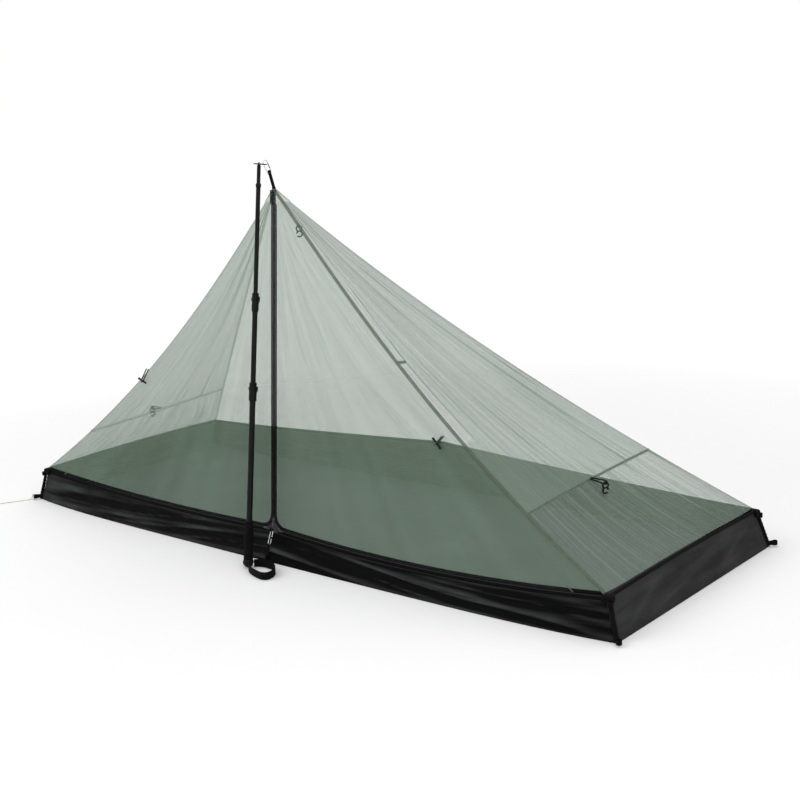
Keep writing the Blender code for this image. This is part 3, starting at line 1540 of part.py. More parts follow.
for side, word in ((-1, "left"), (1, "right")):
    top = fold_point(side, 0.0)
    low = fold_point(side, 1.0)
    door = carry(f"door_{word}_axis", [f"door_{word}", f"zip_door_{word}"], top.lerp(low, 0.5), top - low)
    centre, _, _, chord, up = arc_frame(side)
    travel = carry(f"zip_{word}_axis", [f"zip_slider_{word}"], centre, up.cross(chord))
    carry(f"pull_{word}_axis", [f"zip_pull_{word}"], *hinges[f"pull_{word}"], travel)
    toggle = [f"toggle_{word}", f"toggle_cord_{word}"]
    carry(f"toggle_{word}_axis", toggle, *hinges[f"toggle_{word}"], door if side > 0 else None)
    tieout = [f"tieout_{word}_cord", f"tieout_{word}_hook"]
    carry(f"tieout_{word}_axis", tieout, *hinges[f"tieout_{word}"])
travel = carry("zip_center_axis", ["zip_slider_center"], zip_line(ZIP_FOOT_HEIGHT + SLIDER_PARK), ZIP_UP)
carry("pull_center_axis", ["zip_pull_center"], *hinges["pull_center"], travel)
carry("lantern_axis", ["lantern_cord", "lantern_hook"], *hinges["lantern"])
carry("carabiner_gate_axis", ["carabiner_gate"], GATE_HINGE, RING_FRAME.col[2].xyz)
carry("lever_lower_axis", ["pole_lower_lever"], *hinges["pole_lower_lever"])
middle = carry(
    "pole_middle_axis", ["pole_middle_tube", "pole_upper_clamp"], pole_point(LOWER_TOP), POLE_AXIS
)
carry("lever_upper_axis", ["pole_upper_lever"], *hinges["pole_upper_lever"], middle)
carry("pole_tip_axis", ["pole_tip_tube", "pole_ferrule"], pole_point(UPPER_TOP), POLE_AXIS, middle)
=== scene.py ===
import math

import bmesh
import bpy
from mathutils import Matrix, Vector


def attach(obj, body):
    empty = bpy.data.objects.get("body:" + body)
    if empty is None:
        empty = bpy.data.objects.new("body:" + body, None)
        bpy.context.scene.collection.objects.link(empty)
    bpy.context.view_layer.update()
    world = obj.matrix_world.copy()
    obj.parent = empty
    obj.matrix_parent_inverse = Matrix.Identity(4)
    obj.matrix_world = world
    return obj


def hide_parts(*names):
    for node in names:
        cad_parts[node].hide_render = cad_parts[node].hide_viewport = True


# Trekking pole tent: net canopy on a dark tray floor, hung from an upturned trekking pole.
# Metres, with the tent along X, its front towards -Y and Z up.

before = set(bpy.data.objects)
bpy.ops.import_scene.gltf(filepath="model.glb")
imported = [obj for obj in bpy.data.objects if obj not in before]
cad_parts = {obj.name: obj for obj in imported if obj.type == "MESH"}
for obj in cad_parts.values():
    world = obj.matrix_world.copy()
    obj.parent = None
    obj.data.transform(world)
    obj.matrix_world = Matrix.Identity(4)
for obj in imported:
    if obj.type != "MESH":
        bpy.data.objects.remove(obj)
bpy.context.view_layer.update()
scene = bpy.context.scene
scene.view_settings.view_transform = "Standard"
up = Vector((0, 0, 1))
right = Vector((1, 0, 0))


# Camera
cameraValues = {
    "azimuth": 40.9,  # degrees, 0 looks along +Y
    "elevation": 12.8,
    "roll": -3.2,
    "distance": 3.74,
    "target": (0.231, -0.0875, 0.412),
    "lens": 60.75,  # mm on a 36 mm sensor
}


def addCamera(values):
    azimuth = math.radians(values["azimuth"])
    elevation = math.radians(values["elevation"])
    roll = math.radians(values["roll"])
    ahead = Vector((
        -math.sin(azimuth) * math.cos(elevation),
        math.cos(azimuth) * math.cos(elevation),
        -math.sin(elevation),
    ))
    across = Vector((math.cos(azimuth), math.sin(azimuth), 0))
    above = across.cross(ahead)
    x = across * math.cos(roll) + above * math.sin(roll)
    y = above * math.cos(roll) - across * math.sin(roll)
    data = bpy.data.cameras.new("photoCamera")
    data.lens = values["lens"]
    data.sensor_width = 36
    camera = bpy.data.objects.new("photoCamera", data)
    scene.collection.objects.link(camera)
    placing = Matrix((x, y, -ahead)).transposed().to_4x4()
    placing.translation = Vector(values["target"]) - ahead * values["distance"]
    camera.matrix_world = placing
    scene.camera = camera


addCamera(cameraValues)
print("stage: camera")


# Shapes of the tent that every piece follows
tent = {
    "length": 2.200,
    "width": 0.775,
    "apexHeight": 1.010,
    "apexSetback": 0.101,
    "cornerHeight": 0.101,
    "cornerInsetX": 0.030,
    "cornerInsetY": 0.016,
    "zipFootHeight": 0.084,
    "zipFootSetback": 0.004,
    "zipSagRight": 0.027,
    "zipSagLeft": 0.014,
    "frontBulge": 0.035,
    "backRise": 0.052,
    "endRise": 0.006,
    "ridgeFrontSag": 0.084,
    "ridgeFrontSetback": 0.010,
    "ridgeBackSagX": 0.041,
    "ridgeBackSagY": 0.047,
    "ridgeSkew": 0.25,
    "panelSag": 0.022,
    "backPanelSag": 0.030,
    "pleat": 0.004,
    "sheet": 0.0008,
    "touch": 0.0003,
    "seamGap": 0.0006,
    "ridgeTape": 0.0040,
    "seamTape": 0.0022,
    "binding": 0.0030,
    "cornerWeb": 0.0060,
    "cornerClear": 0.0009,
    "patchHeight": 0.035,
    "seamInset": 0.0017,
    "netLap": 0.001,
    "foldSlit": 0.0002,
}
apex = Vector((0, tent["apexSetback"] - tent["width"] / 2, tent["apexHeight"]))
zipFoot = Vector((0, tent["zipFootSetback"] - tent["width"] / 2, tent["zipFootHeight"]))
zipUp = (apex - zipFoot).normalized()
zipOut = zipUp.cross(Vector((-1, 0, 0))).normalized()


def steps(count):
    return [i / count for i in range(count + 1)]


def arc(centre, radius, start, stop, count=10):
    turns = [start + (stop - start) * s for s in steps(count)]
    return [(centre[0] + radius * math.cos(a), centre[1] + radius * math.sin(a)) for a in turns]


def circle(centre, radius, count=24):
    return arc(centre, radius, 0, 2 * math.pi * (1 - 1 / count), count - 1)


def axes(origin, alongX, alongY):
    x = alongX.normalized()
    z = x.cross(alongY).normalized()
    turn = Matrix((x, z.cross(x), z)).transposed().to_4x4()
    turn.translation = origin
    return turn


def hump(t):
    return 4 * t * (1 - t)


def cornerTop(side, depth):
    return Vector((
        side * (tent["length"] / 2 - tent["cornerInsetX"]),
        depth * (tent["width"] / 2 - tent["cornerInsetY"]),
        tent["cornerHeight"],
    ))


def cornerFoot(side, depth):
    return Vector((side * tent["length"] / 2, depth * tent["width"] / 2, 0))


def ridge(side, depth, t):  # from the apex at 0 to the wall corner at 1
    spot = apex.lerp(cornerTop(side, depth), t)
    if depth < 0:
        skew = 1 + tent["ridgeSkew"] * (2 * t - 1)
        spot.x -= side * tent["ridgeFrontSag"] * hump(t) * skew
        spot.y += tent["ridgeFrontSetback"] * hump(t)
    else:
        spot.x -= side * tent["ridgeBackSagX"] * hump(t)
        spot.y -= tent["ridgeBackSagY"] * hump(t)
    return spot


def ridgeShare(height):
    return (tent["apexHeight"] - height) / (tent["apexHeight"] - tent["cornerHeight"])


def zipLine(height):
    return zipFoot.lerp(apex, (height - zipFoot.z) / (apex.z - zipFoot.z))


def arcFrame(side):
    chord = cornerTop(side, -1) - zipFoot
    along = chord.normalized()
    rise = (up - along * up.dot(along)).normalized()
    sag = tent["zipSagRight"] if side > 0 else tent["zipSagLeft"]
    radius = (chord.length**2 / 4 + sag**2) / (2 * sag)
    centre = zipFoot + chord / 2 + rise * (radius - sag)
    return centre, radius, math.asin(chord.length / 2 / radius), along, rise


def zipArc(side, share, inset=0.0):  # along the wall-top zip, from the zip foot out to the corner
    centre, radius, half, along, rise = arcFrame(side)
    angle = half * (2 * share - 1)
    return centre + (along * math.sin(angle) - rise * math.cos(angle)) * (radius - inset)


zips = {
    "coil": 0.0011,
    "split": 0.0014,
    "tapeWidth": 0.008,
    "tape": 0.0006,
    "foldDrop": 0.082,
    "foldEnd": 0.91,
    "tapeGap": 0.006,
    "foldGap": 0.00045,
    "doorTopWidth": 0.020,
    "doorCornerCut": 0.045,
    "doorCornerFrom": 0.40,
    "doorCornerTo": 0.50,
    "endTrim": 0.017,
    "stripStep": 0.10,
    "stripRow": 0.01,
    "park": 0.022,
    "toothPitch": 0.0016,
    "doorLap": 0.0015,
    "tapeTrim": 0.002,  # share of the wall tape's run
    "coilWide": 1.25,  # a woven coil is a little wider than it is high
    "coilHigh": 0.85,
}
coilInset = zips["split"] / 2 + zips["coil"]
tapeInset = coilInset + zips["coil"] + tent["touch"]
tapeReach = tapeInset + zips["tapeWidth"] - coilInset
panelInset = tapeInset + zips["tapeWidth"] + tent["seamGap"]
patchBase = tent["apexHeight"] - tent["patchHeight"]
topShare = ridgeShare(patchBase - tent["seamGap"])
wallTrim = tent["cornerWeb"] + tent["cornerClear"]
wallHead = tent["binding"] + tent["touch"]
wallFoot = tent["sheet"] / 2
zipSpan = zipArc(1, 1).x


def foldPoint(side, share):  # the straight line about which a door swings
    return zipLine(apex.z - zips["foldDrop"]).lerp(zipArc(side, zips["foldEnd"]), share)


def foldAt(side, height):
    top = foldPoint(side, 0)
    low = foldPoint(side, 1)
    return top.lerp(low, (top.z - height) / (top.z - low.z))


doorTopShare = zips["doorTopWidth"] / zipArc(1, zips["foldEnd"]).x


def foldLean():
    top = foldPoint(1, 0)
    low = foldPoint(1, 1)
    return (low.x - top.x) / (top.z - low.z)


def foldGap(side):  # between the fold and the cloth on each side of it
    return side * tent["foldSlit"] * (1 + foldLean() ** 2) ** 0.5


def stretched(left, rightEdge, top, bottom):  # a sheet between four edges that meet at their ends
    def place(u, v):
        sides = left(v).lerp(rightEdge(v), u)
        ends = top(u).lerp(bottom(u), v)
        corners = left(0).lerp(rightEdge(0), u).lerp(left(1).lerp(rightEdge(1), u), v)
        return sides + ends - corners

    return place


def straight(start, stop):
    return lambda share: start.lerp(stop, share)


def trimmed(point, towards, distance):
    return point + (towards - point).normalized() * distance


def eased(route, share):  # a smooth curve through a route's points
    place = share * (len(route) - 1)
    i = min(int(place), len(route) - 2)
    s = place - i
    last = len(route) - 1
    before, start, stop, after = (Vector(route[max(0, min(last, k))]) for k in (i - 1, i, i + 1, i + 2))
    bend = before * -1 + start * 3 - stop * 3 + after
    lift = before * 2 - start * 5 + stop * 4 - after
    return start + ((stop - before) * s + lift * s**2 + bend * s**3) / 2


def pathLength(path):
    return sum((b - a).length for a, b in zip(path, path[1:]))


# Materials
def addNode(tree, kind, **values):
    made = tree.nodes.new(kind)
    for key, value in values.items():
        if hasattr(made, key):
            setattr(made, key, value)
        else:
            made.inputs[key.replace("_", " ")].default_value = value
    return made


def newMaterial(name, colour, roughness, metallic=0.0, specular=0.5):
    material = bpy.data.materials.new(name)
    material.use_nodes = True
    tree = material.node_tree
    shader = tree.nodes["Principled BSDF"]
    shader.inputs["Base Color"].default_value = (*colour, 1)
    shader.inputs["Roughness"].default_value = roughness
    shader.inputs["Metallic"].default_value = metallic
    shader.inputs["Specular IOR Level"].default_value = specular
    return material, tree, shader


def coordinates(tree, scale, uvMap=None, turn=0.0):
    if uvMap:
        source = addNode(tree, "ShaderNodeUVMap", uv_map=uvMap).outputs["UV"]
    else:
        source = tree.nodes.new("ShaderNodeTexCoord").outputs["Object"]
    mapping = addNode(tree, "ShaderNodeMapping", Scale=scale, Rotation=(0, 0, turn))
    tree.links.new(source, mapping.inputs["Vector"])
    return mapping.outputs["Vector"]


def noise(tree, vector, scale, detail=3.0, roughness=0.55):
    made = addNode(tree, "ShaderNodeTexNoise", Scale=scale, Detail=detail, Roughness=roughness)
    tree.links.new(vector, made.inputs["Vector"])
    return made.outputs["Fac"]


def wave(tree, vector, pitch, direction="X", distortion=0.0):
    scale = math.pi / pitch / math.tau
    made = addNode(tree, "ShaderNodeTexWave", bands_direction=direction, Scale=scale, Distortion=distortion)
    tree.links.new(vector, made.inputs["Vector"])
    return made.outputs["Fac"]


def remap(tree, value, low, high, fromLow=0.0, fromHigh=1.0):
    made = tree.nodes.new("ShaderNodeMapRange")
    for key, number in (("From Min", fromLow), ("From Max", fromHigh), ("To Min", low), ("To Max", high)):
        made.inputs[key].default_value = number
    tree.links.new(value, made.inputs["Value"])
    return made.outputs["Result"]


def combine(tree, operation, first, second):
    made = addNode(tree, "ShaderNodeMath", operation=operation)
    for socket, value in zip(made.inputs, (first, second)):
        if isinstance(value, (int, float)):
            socket.default_value = value
        else:
            tree.links.new(value, socket)
    return made.outputs["Value"]


def blendColours(tree, factor, first, second):
    made = addNode(tree, "ShaderNodeMix", data_type="RGBA")
    made.inputs[6].default_value = (*first, 1)
    made.inputs[7].default_value = (*second, 1)
    tree.links.new(factor, made.inputs[0])
    return made.outputs[2]


def addBump(tree, shader, height, distance, strength=1.0, before=None):
    made = addNode(tree, "ShaderNodeBump", Strength=strength, Distance=distance)
    tree.links.new(height, made.inputs["Height"])
    if before is not None:
        tree.links.new(before, made.inputs["Normal"])
    tree.links.new(made.outputs["Normal"], shader.inputs["Normal"])
    return made.outputs["Normal"]


# See-through net with long tension streaks that fan out from the apex, and painted shade in its pleats
netLooks = {
    "dark": (0.213, 0.300, 0.223),
    "light": (0.333, 0.468, 0.350),
    "endGreen": 0.92,
    # the dark colour times this is the painted shade of the pleats
    "pleat": 0.55,
    "meshPitch": 0.0021,
    "meshDepth": 0.10,
    "meshRelief": 0.0003,
    "streakRelief": 0.004,
    "lineStretch": (0.95, 0.45),  # of the streaks' scale
    "lineWidth": 0.024,
    "lineFade": (0.35, 1, 0.1, 0.6),
    "lineShade": 1.6,
    "broadScale": 2.3,
    "roughness": 0.75,
    "specular": 0.12,
}


def fanShares(tree):  # a sheet's shares across and down, which its second map holds
    split = tree.nodes.new("ShaderNodeSeparateXYZ")
    tree.links.new(coordinates(tree, (1, 1, 1), "fan"), split.inputs["Vector"])
    return split.outputs["X"], split.outputs["Y"]


def highlightStrip(tree, cover, values):  # a pale strip beside a seam, up to a crease: a painted highlight, made by thinning the net's cover
    across, down = fanShares(tree)
    slope = combine(tree, "MULTIPLY", down, values["slope"])
    crease = combine(tree, "MAXIMUM", combine(tree, "SUBTRACT", values["top"], slope), values["reach"])
    beyond = combine(tree, "SUBTRACT", crease, across)
    ended = remap(tree, down, 1, 0, values["stop"], values["stop"] + 2 * values["soft"])
    inside = combine(tree, "MULTIPLY", remap(tree, beyond, 0, 1, 0, values["soft"]), ended)
    thin = remap(tree, down, 1 - values["thinTop"], 1 - values["thinLow"], values["open"], values["stop"])
    left = combine(tree, "SUBTRACT", 1, combine(tree, "MULTIPLY", inside, thin))
    cover = combine(tree, "MULTIPLY", cover, left)
    line = remap(tree, combine(tree, "ABSOLUTE", beyond, 0), values["line"], 0, 0, values["lineReach"])
    return combine(tree, "ADD", cover, combine(tree, "MULTIPLY", line, ended))


def tinted(colour, factor, green):
    return colour[0] * factor, colour[1] * green * factor, colour[2] * factor


def netMaterial(name, alpha, scale, streakReach, lineReach, relief, gather=0.0, strip=None, green=1.0):
    looks = netLooks
    material, tree, shader = newMaterial(name, looks["light"], looks["roughness"], specular=looks["specular"])
    across, down = fanShares(tree)
    streaks = noise(tree, coordinates(tree, scale, "fan"), 1.0, 4.0, 0.62)
    lineScale = (scale[0] * looks["lineStretch"][0], scale[1] * looks["lineStretch"][1], 1)
    lines = noise(tree, coordinates(tree, lineScale, "fan"), 1.0, 1.0, 0.5)
    lines = combine(tree, "ABSOLUTE", combine(tree, "SUBTRACT", lines, 0.5), 0)
    lines = remap(tree, lines, lineReach, 0, 0.0, looks["lineWidth"])
    lines = combine(tree, "MULTIPLY", lines, remap(tree, across, *looks["lineFade"]))
    broad = noise(tree, coordinates(tree, (1, 1, 1)), looks["broadScale"], 2.0)
    cells = addNode(tree, "ShaderNodeTexVoronoi", Scale=1 / looks["meshPitch"], Randomness=0.15)
    tree.links.new(coordinates(tree, (1, 1, 1), "cloth"), cells.inputs["Vector"])
    mesh = remap(tree, cells.outputs["Distance"], 0, 1, 0.15, 0.75)
    # Painted shade: the colour darkens towards the shaded pleat colour where the net is denser in its streaks
    # and along its pleat lines; the broad noise is tone that differs at random
    tone = remap(tree, streaks, 0, 0.8, 0.3, 0.7)
    tone = combine(tree, "ADD", tone, remap(tree, broad, -0.1, 0.3, 0.3, 0.7))
    tone = combine(tree, "SUBTRACT", tone, combine(tree, "MULTIPLY", lines, looks["lineShade"]))
    tone = remap(tree, tone, 0, 1, -0.7, 1)
    folded = tinted(looks["dark"], looks["pleat"], green)
    colour = blendColours(tree, tone, folded, tinted(looks["light"], 1, green))
    tree.links.new(colour, shader.inputs["Base Color"])
    cover = remap(tree, streaks, alpha + streakReach, alpha - streakReach, 0.3, 0.7)
    cover = combine(tree, "ADD", cover, remap(tree, mesh, -looks["meshDepth"], looks["meshDepth"]))
    cover = combine(tree, "ADD", cover, lines)
    cover = combine(tree, "ADD", cover, remap(tree, down, -gather, gather))
    if strip:
        cover = highlightStrip(tree, cover, strip)
    tree.links.new(cover, shader.inputs["Alpha"])
    soft = addBump(tree, shader, streaks, looks["streakRelief"], relief)
    addBump(tree, shader, mesh, looks["meshRelief"], 0.5, soft)
    return material


seamHighlight = {
    "top": 0.30,
    "slope": 0.33,
    "reach": 0.112,
    "open": 0.50,
    "stop": 0.80,
    "soft": 0.006,
    "thinTop": 0.74,
    "thinLow": 0.42,
    "line": 0.60,
    "lineReach": 0.0114,
}
paler = netLooks["endGreen"]
netEndLeft = netMaterial("netEndLeft", 0.53, (34, 1.1, 1), 0.09, 0.20, 0.7, 0.05, green=paler)
netEndRight = netMaterial("netEndRight", 0.50, (34, 1.0, 1), 0.11, 0.46, 0.7, 0.08, seamHighlight, paler)
netLowLeft = netMaterial("netLowLeft", 0.62, (34, 1.1, 1), 0.08, 0.20, 0.7, 0.03, green=paler)
netLowRight = netMaterial("netLowRight", 0.46, (34, 0.5, 1), 0.13, 0.45, 0.7, green=paler)
netBackCloth = netMaterial("netBack", 0.41, (26, 1.3, 1), 0.05, 0.08, 0.5)
netFront = netMaterial("netFront", 0.405, (14, 0.9, 1), 0.030, 0.03, 0.3)


# Coated floor cloth, crinkled, with a faint ripstop grid
floorLooks = {
    "ripstop": 0.006,
    "crinkle": 0.0060,
    # foldScale and foldReach stretch and spread the painted crease shade
    "foldScale": (2.0, 34, 1),
    "foldReach": 0.22,
    "ripstopRelief": 0.0002,
    "roughness": (0.50, 0.70),
}


def floorMaterial(name, stretch, dark, light, specular, folds=0.0):
    looks = floorLooks
    material, tree, shader = newMaterial(name, dark, 0.6, specular=specular)
    crinkles = noise(tree, coordinates(tree, stretch, "cloth"), 9.0, 5.0, 0.6)
    broad = noise(tree, coordinates(tree, (1, 1, 1)), 4.0, 2.0)
    cloth = coordinates(tree, (1, 1, 1), "cloth")
    rows = [wave(tree, cloth, looks["ripstop"], way) for way in ("X", "Y")]
    lines = remap(tree, combine(tree, "MAXIMUM", *rows), 0, 1, 0.93, 1.0)
    tone = combine(tree, "MULTIPLY", lines, 0.12)
    tone = combine(tree, "ADD", remap(tree, broad, 0.1, 0.7, 0.3, 0.7), tone)
    if folds:  # painted shade in the creases of a hanging wall, whose depth is in the second map; the back wall, whose second map is plain, is painted darker towards its foot
        long = noise(tree, coordinates(tree, looks["foldScale"], "cloth"), 1.0, 2.0, 0.5)
        long = remap(tree, long, -looks["foldReach"], looks["foldReach"], 0.4, 0.6)
        depth = combine(tree, "ADD", fanShares(tree)[1], long)
        tone = combine(tree, "MULTIPLY", tone, remap(tree, depth, 1 - folds, 1 + folds / 2))
    tree.links.new(blendColours(tree, tone, dark, light), shader.inputs["Base Color"])
    tree.links.new(remap(tree, crinkles, *looks["roughness"], 0.3, 0.7), shader.inputs["Roughness"])
    soft = addBump(tree, shader, crinkles, looks["crinkle"], 0.9)
    addBump(tree, shader, lines, looks["ripstopRelief"], 0.4, soft)
    return material


# Painted shade: the walls are one fabric, but the front wall's copy is darker and has deeper painted crease
# shade than the copy on the back and end walls
wallCloth = floorMaterial(
    "wallCloth", (1.2, 5.0, 1), (0.010, 0.0106, 0.0103), (0.050, 0.0525, 0.0512), 0.07, 0.8
)
frontShadedCloth = floorMaterial(
    "frontShadedCloth", (1.2, 4.0, 1), (0.002, 0.0023, 0.0021), (0.056, 0.0600, 0.0572), 0.03, 1.4
)
groundCloth = floorMaterial("groundCloth", (1.0, 1.6, 1), (0.046, 0.042, 0.051), (0.080, 0.074, 0.088), 0.0)
tapeLooks = {
    "ribDistortion": 0.6,
    "weaveShare": 0.6,
    "wearScale": 60.0,
    "roughnessReach": 0.08,
    "relief": 0.0003,
}


def tapeMaterial(name, dark, light, roughness, rib, cover=1.0):
    looks = tapeLooks
    material, tree, shader = newMaterial(name, dark, roughness, specular=0.06)
    shader.inputs["Alpha"].default_value = cover
    ribs = wave(tree, coordinates(tree, (1, 1, 1), "cloth"), rib, "Y", looks["ribDistortion"])
    twill = wave(tree, coordinates(tree, (1, 1, 1), "cloth", math.radians(45)), rib)
    weave = combine(tree, "MULTIPLY", ribs, twill)
    wear = noise(tree, coordinates(tree, (1, 1, 1)), looks["wearScale"], 4.0)
    tone = combine(tree, "MULTIPLY", weave, looks["weaveShare"])
    tone = combine(tree, "ADD", tone, remap(tree, wear, -0.1, 0.4, 0.35, 0.7))
    tree.links.new(blendColours(tree, tone, dark, light), shader.inputs["Base Color"])
    reach = looks["roughnessReach"]
    wear = remap(tree, wear, roughness - reach, roughness + reach, 0.3, 0.7)
    tree.links.new(wear, shader.inputs["Roughness"])
    addBump(tree, shader, weave, looks["relief"], 0.7)
    return material


webbing = tapeMaterial("webbing", (0.002, 0.002, 0.002), (0.009, 0.009, 0.0095), 0.75, 0.0016)
elastic = tapeMaterial("elastic", (0.002, 0.002, 0.002), (0.007, 0.007, 0.0075), 0.70, 0.0009)
greyElastic = tapeMaterial("greyElastic", (0.055, 0.060, 0.056), (0.120, 0.128, 0.120), 0.70, 0.0009)
# the seams' cover is for one side of the folded tape, and both sides are seen through each other
seamCloth = tapeMaterial("seamCloth", (0.120, 0.150, 0.112), (0.205, 0.250, 0.192), 0.8, 0.0012, 0.62)
seamEdge = tapeMaterial("seamEdge", (0.160, 0.200, 0.152), (0.260, 0.325, 0.250), 0.8, 0.0012, 0.32)
seamPale = tapeMaterial("seamPale", (0.180, 0.222, 0.180), (0.275, 0.336, 0.275), 0.8, 0.0012, 0.62)
zipTape = tapeMaterial("zipTape", (0.006, 0.0070, 0.0065), (0.022, 0.025, 0.023), 0.8, 0.0010, 0.72)
blackTape = tapeMaterial("blackTape", (0.002, 0.0023, 0.0021), (0.008, 0.0088, 0.0084), 0.8, 0.0010)
cordCover = tapeMaterial("cordCover", (0.42, 0.42, 0.24), (0.85, 0.86, 0.60), 0.6, 0.0010)


def coilMaterial():
    material, tree, shader = newMaterial("zipCoil", (0.003, 0.003, 0.003), 0.5, specular=0.05)
    teeth = wave(tree, coordinates(tree, (1, 1, 1), "cloth"), zips["toothPitch"], "Y")
    colour = blendColours(tree, teeth, (0.0015, 0.0015, 0.0015), (0.008, 0.008, 0.0085))
    tree.links.new(colour, shader.inputs["Base Color"])
    tree.links.new(remap(tree, teeth, 0.5, 0.3), shader.inputs["Roughness"])
    addBump(tree, shader, teeth, 0.0004, 0.8)
    return material


zipCoil = coilMaterial()


def hardMaterial(name, dark, light, roughness, metallic, grain, depth, specular=0.5):
    material, tree, shader = newMaterial(name, dark, roughness, metallic, specular=specular)
    fine = noise(tree, coordinates(tree, (1, 1, 1)), grain, 4.0)
    broad = noise(tree, coordinates(tree, (1, 1, 1)), 22.0, 3.0)
    tone = combine(tree, "ADD", remap(tree, fine, 0, 0.5, 0.3, 0.7), remap(tree, broad, 0, 0.5, 0.3, 0.7))
    tree.links.new(blendColours(tree, tone, dark, light), shader.inputs["Base Color"])
    wear = remap(tree, broad, roughness - 0.07, roughness + 0.09, 0.3, 0.7)
    tree.links.new(wear, shader.inputs["Roughness"])
    addBump(tree, shader, fine, depth, 0.6)
    return material


brightMetal = hardMaterial("brightMetal", (0.50, 0.51, 0.52), (0.72, 0.73, 0.74), 0.26, 1.0, 900, 0.00005)
darkMetal = hardMaterial("darkMetal", (0.05, 0.05, 0.052), (0.11, 0.11, 0.115), 0.36, 1.0, 900, 0.00005)
blackPlastic = hardMaterial(
    "blackPlastic", (0.003, 0.003, 0.0032), (0.010, 0.010, 0.011), 0.45, 0.0, 1400, 0.00006, 0.10
)
greyPlastic = hardMaterial(
    "greyPlastic", (0.006, 0.0075, 0.0064), (0.016, 0.019, 0.016), 0.5, 0.0, 1400, 0.00006, 0.10
)
gripFoam = hardMaterial(
    "gripFoam", (0.002, 0.002, 0.002), (0.008, 0.008, 0.008), 0.88, 0.0, 1800, 0.0004, 0.06
)
tubeMetal = hardMaterial(
    "tubeMetal", (0.0015, 0.0015, 0.0016), (0.006, 0.006, 0.0065), 0.36, 0.0, 500, 0.00003, 0.13
)
print("stage: materials")


# Making pieces
def addPiece(name, mesh, material, body, replaced=()):
    mesh.materials.clear()
    mesh.materials.append(material)
    piece = bpy.data.objects.new(name, mesh)
    scene.collection.objects.link(piece)
    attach(piece, body)
    if replaced:
        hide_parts(*replaced)
    return piece


def finished(shape, name, sharp=40, recalculate=False):
    if recalculate:
        bmesh.ops.recalc_face_normals(shape, faces=shape.faces)
    mesh = bpy.data.meshes.new(name)
    shape.to_mesh(mesh)
    shape.free()
    mesh.shade_smooth()
    mesh.set_sharp_from_angle(angle=math.radians(sharp))
    return mesh


def gridMesh(name, place, grid, uvAt, wrap=False, caps=False, sharp=40, flip=False, fanAt=None):
    shape = bmesh.new()
    bmesh.ops.create_grid(shape, x_segments=grid[0], y_segments=grid[1], size=0.5)
    cloth = shape.loops.layers.uv.new("cloth")
    fan = shape.loops.layers.uv.new("fan")
    for face in shape.faces:
        for loop in face.loops:
            u, v = loop.vert.co.x + 0.5, loop.vert.co.y + 0.5
            loop[cloth].uv = uvAt(u, v)
            loop[fan].uv = fanAt(u, v) if fanAt else (u, v)
    for corner in shape.verts:
        corner.co = place(corner.co.x + 0.5, corner.co.y + 0.5)
    if wrap:
        bmesh.ops.remove_doubles(shape, verts=shape.verts, dist=0.000001)
    if caps:
        rims = [edge for edge in shape.edges if edge.is_boundary]
        bmesh.ops.holes_fill(shape, edges=rims, sides=0)
    if flip:
        bmesh.ops.reverse_faces(shape, faces=shape.faces)
    return finished(shape, name, sharp, wrap)


def sheetPiece(
    name, place, grid, flat, material, body="root", replaced=(), wall=0.0,
    flip=False, fanAt=None,
):
    mesh = gridMesh(name, place, grid, lambda u, v: (u * flat[0], v * flat[1]), flip=flip, fanAt=fanAt)
    piece = addPiece(name, mesh, material, body, replaced)
    if wall:
        solid = piece.modifiers.new("thickness", "SOLIDIFY")
        solid.thickness = wall
        solid.offset = 0
    return piece


def sweptMesh(name, path, profile, sides, closed=False, sharp=40):
    count = len(path)
    outlines = profile if callable(profile) else (lambda share: profile)
    ring = outlines(0)
    lengths = [0.0]
    for a, b in zip(path, path[1:]):
        lengths.append(lengths[-1] + (b - a).length)
    girth = [0.0]
    for a, b in zip(ring, ring[1:] + ring[:1]):
        girth.append(girth[-1] + math.dist(a, b))
    places = {}
    for j, spot in enumerate(path):
        if closed:
            tangent = (path[(j + 1) % count] - path[j - 1]).normalized()
        else:
            tangent = (path[min(j + 1, count - 1)] - path[max(j - 1, 0)]).normalized()
        side = sides(j / (count - 1)) if callable(sides) else sides
        side = (side - tangent * side.dot(tangent)).normalized()
        out = tangent.cross(side)
        for i, (a, b) in enumerate(outlines(j / (count - 1))):
            places[i, j] = spot + side * a + out * b
    rows = count if closed else count - 1

    def place(u, v):
        return places[round(u * len(ring)) % len(ring), round(v * rows) % count]

    def uvAt(u, v):
        j = round(v * rows)
        along = lengths[j] if j < count else lengths[-1] + (path[0] - path[-1]).length
        return girth[round(u * len(ring))], along

    return gridMesh(name, place, (len(ring), rows), uvAt, wrap=True, caps=not closed, sharp=sharp)


def roundBar(width, thickness, count=4):  # a flat bar's section with round edges
    r = thickness / 2
    half = width / 2 - r
    edge = arc((half, 0), r, -math.pi / 2, math.pi / 2, count)
    return edge + arc((-half, 0), r, math.pi / 2, 3 * math.pi / 2, count)


def disc(radius, count=12):
    return circle((0, 0), radius, count)


def anySide(path):
    run = (path[-1] - path[0]).normalized()
    return up if abs(run.z) < 0.9 else right


def tubeMesh(name, path, radius, side=None, count=12, closed=False):
    return sweptMesh(name, path, disc(radius, count), side or anySide(path), closed)


def spunMesh(name, profile, placing, closed=False, count=48, sharp=35):
    shape = bmesh.new()
    corners = [shape.verts.new((r, 0, z)) for r, z in profile]
    pairs = list(zip(corners, corners[1:]))
    if closed:
        pairs.append((corners[-1], corners[0]))
    edges = [shape.edges.new(pair) for pair in pairs]
    bmesh.ops.spin(
        shape, geom=corners + edges, axis=(0, 0, 1), cent=(0, 0, 0), angle=math.tau, steps=count,
        use_merge=True,
    )
    bmesh.ops.remove_doubles(shape, verts=shape.verts, dist=0.000001)
    shape.transform(placing)
    return finished(shape, name, sharp, True)


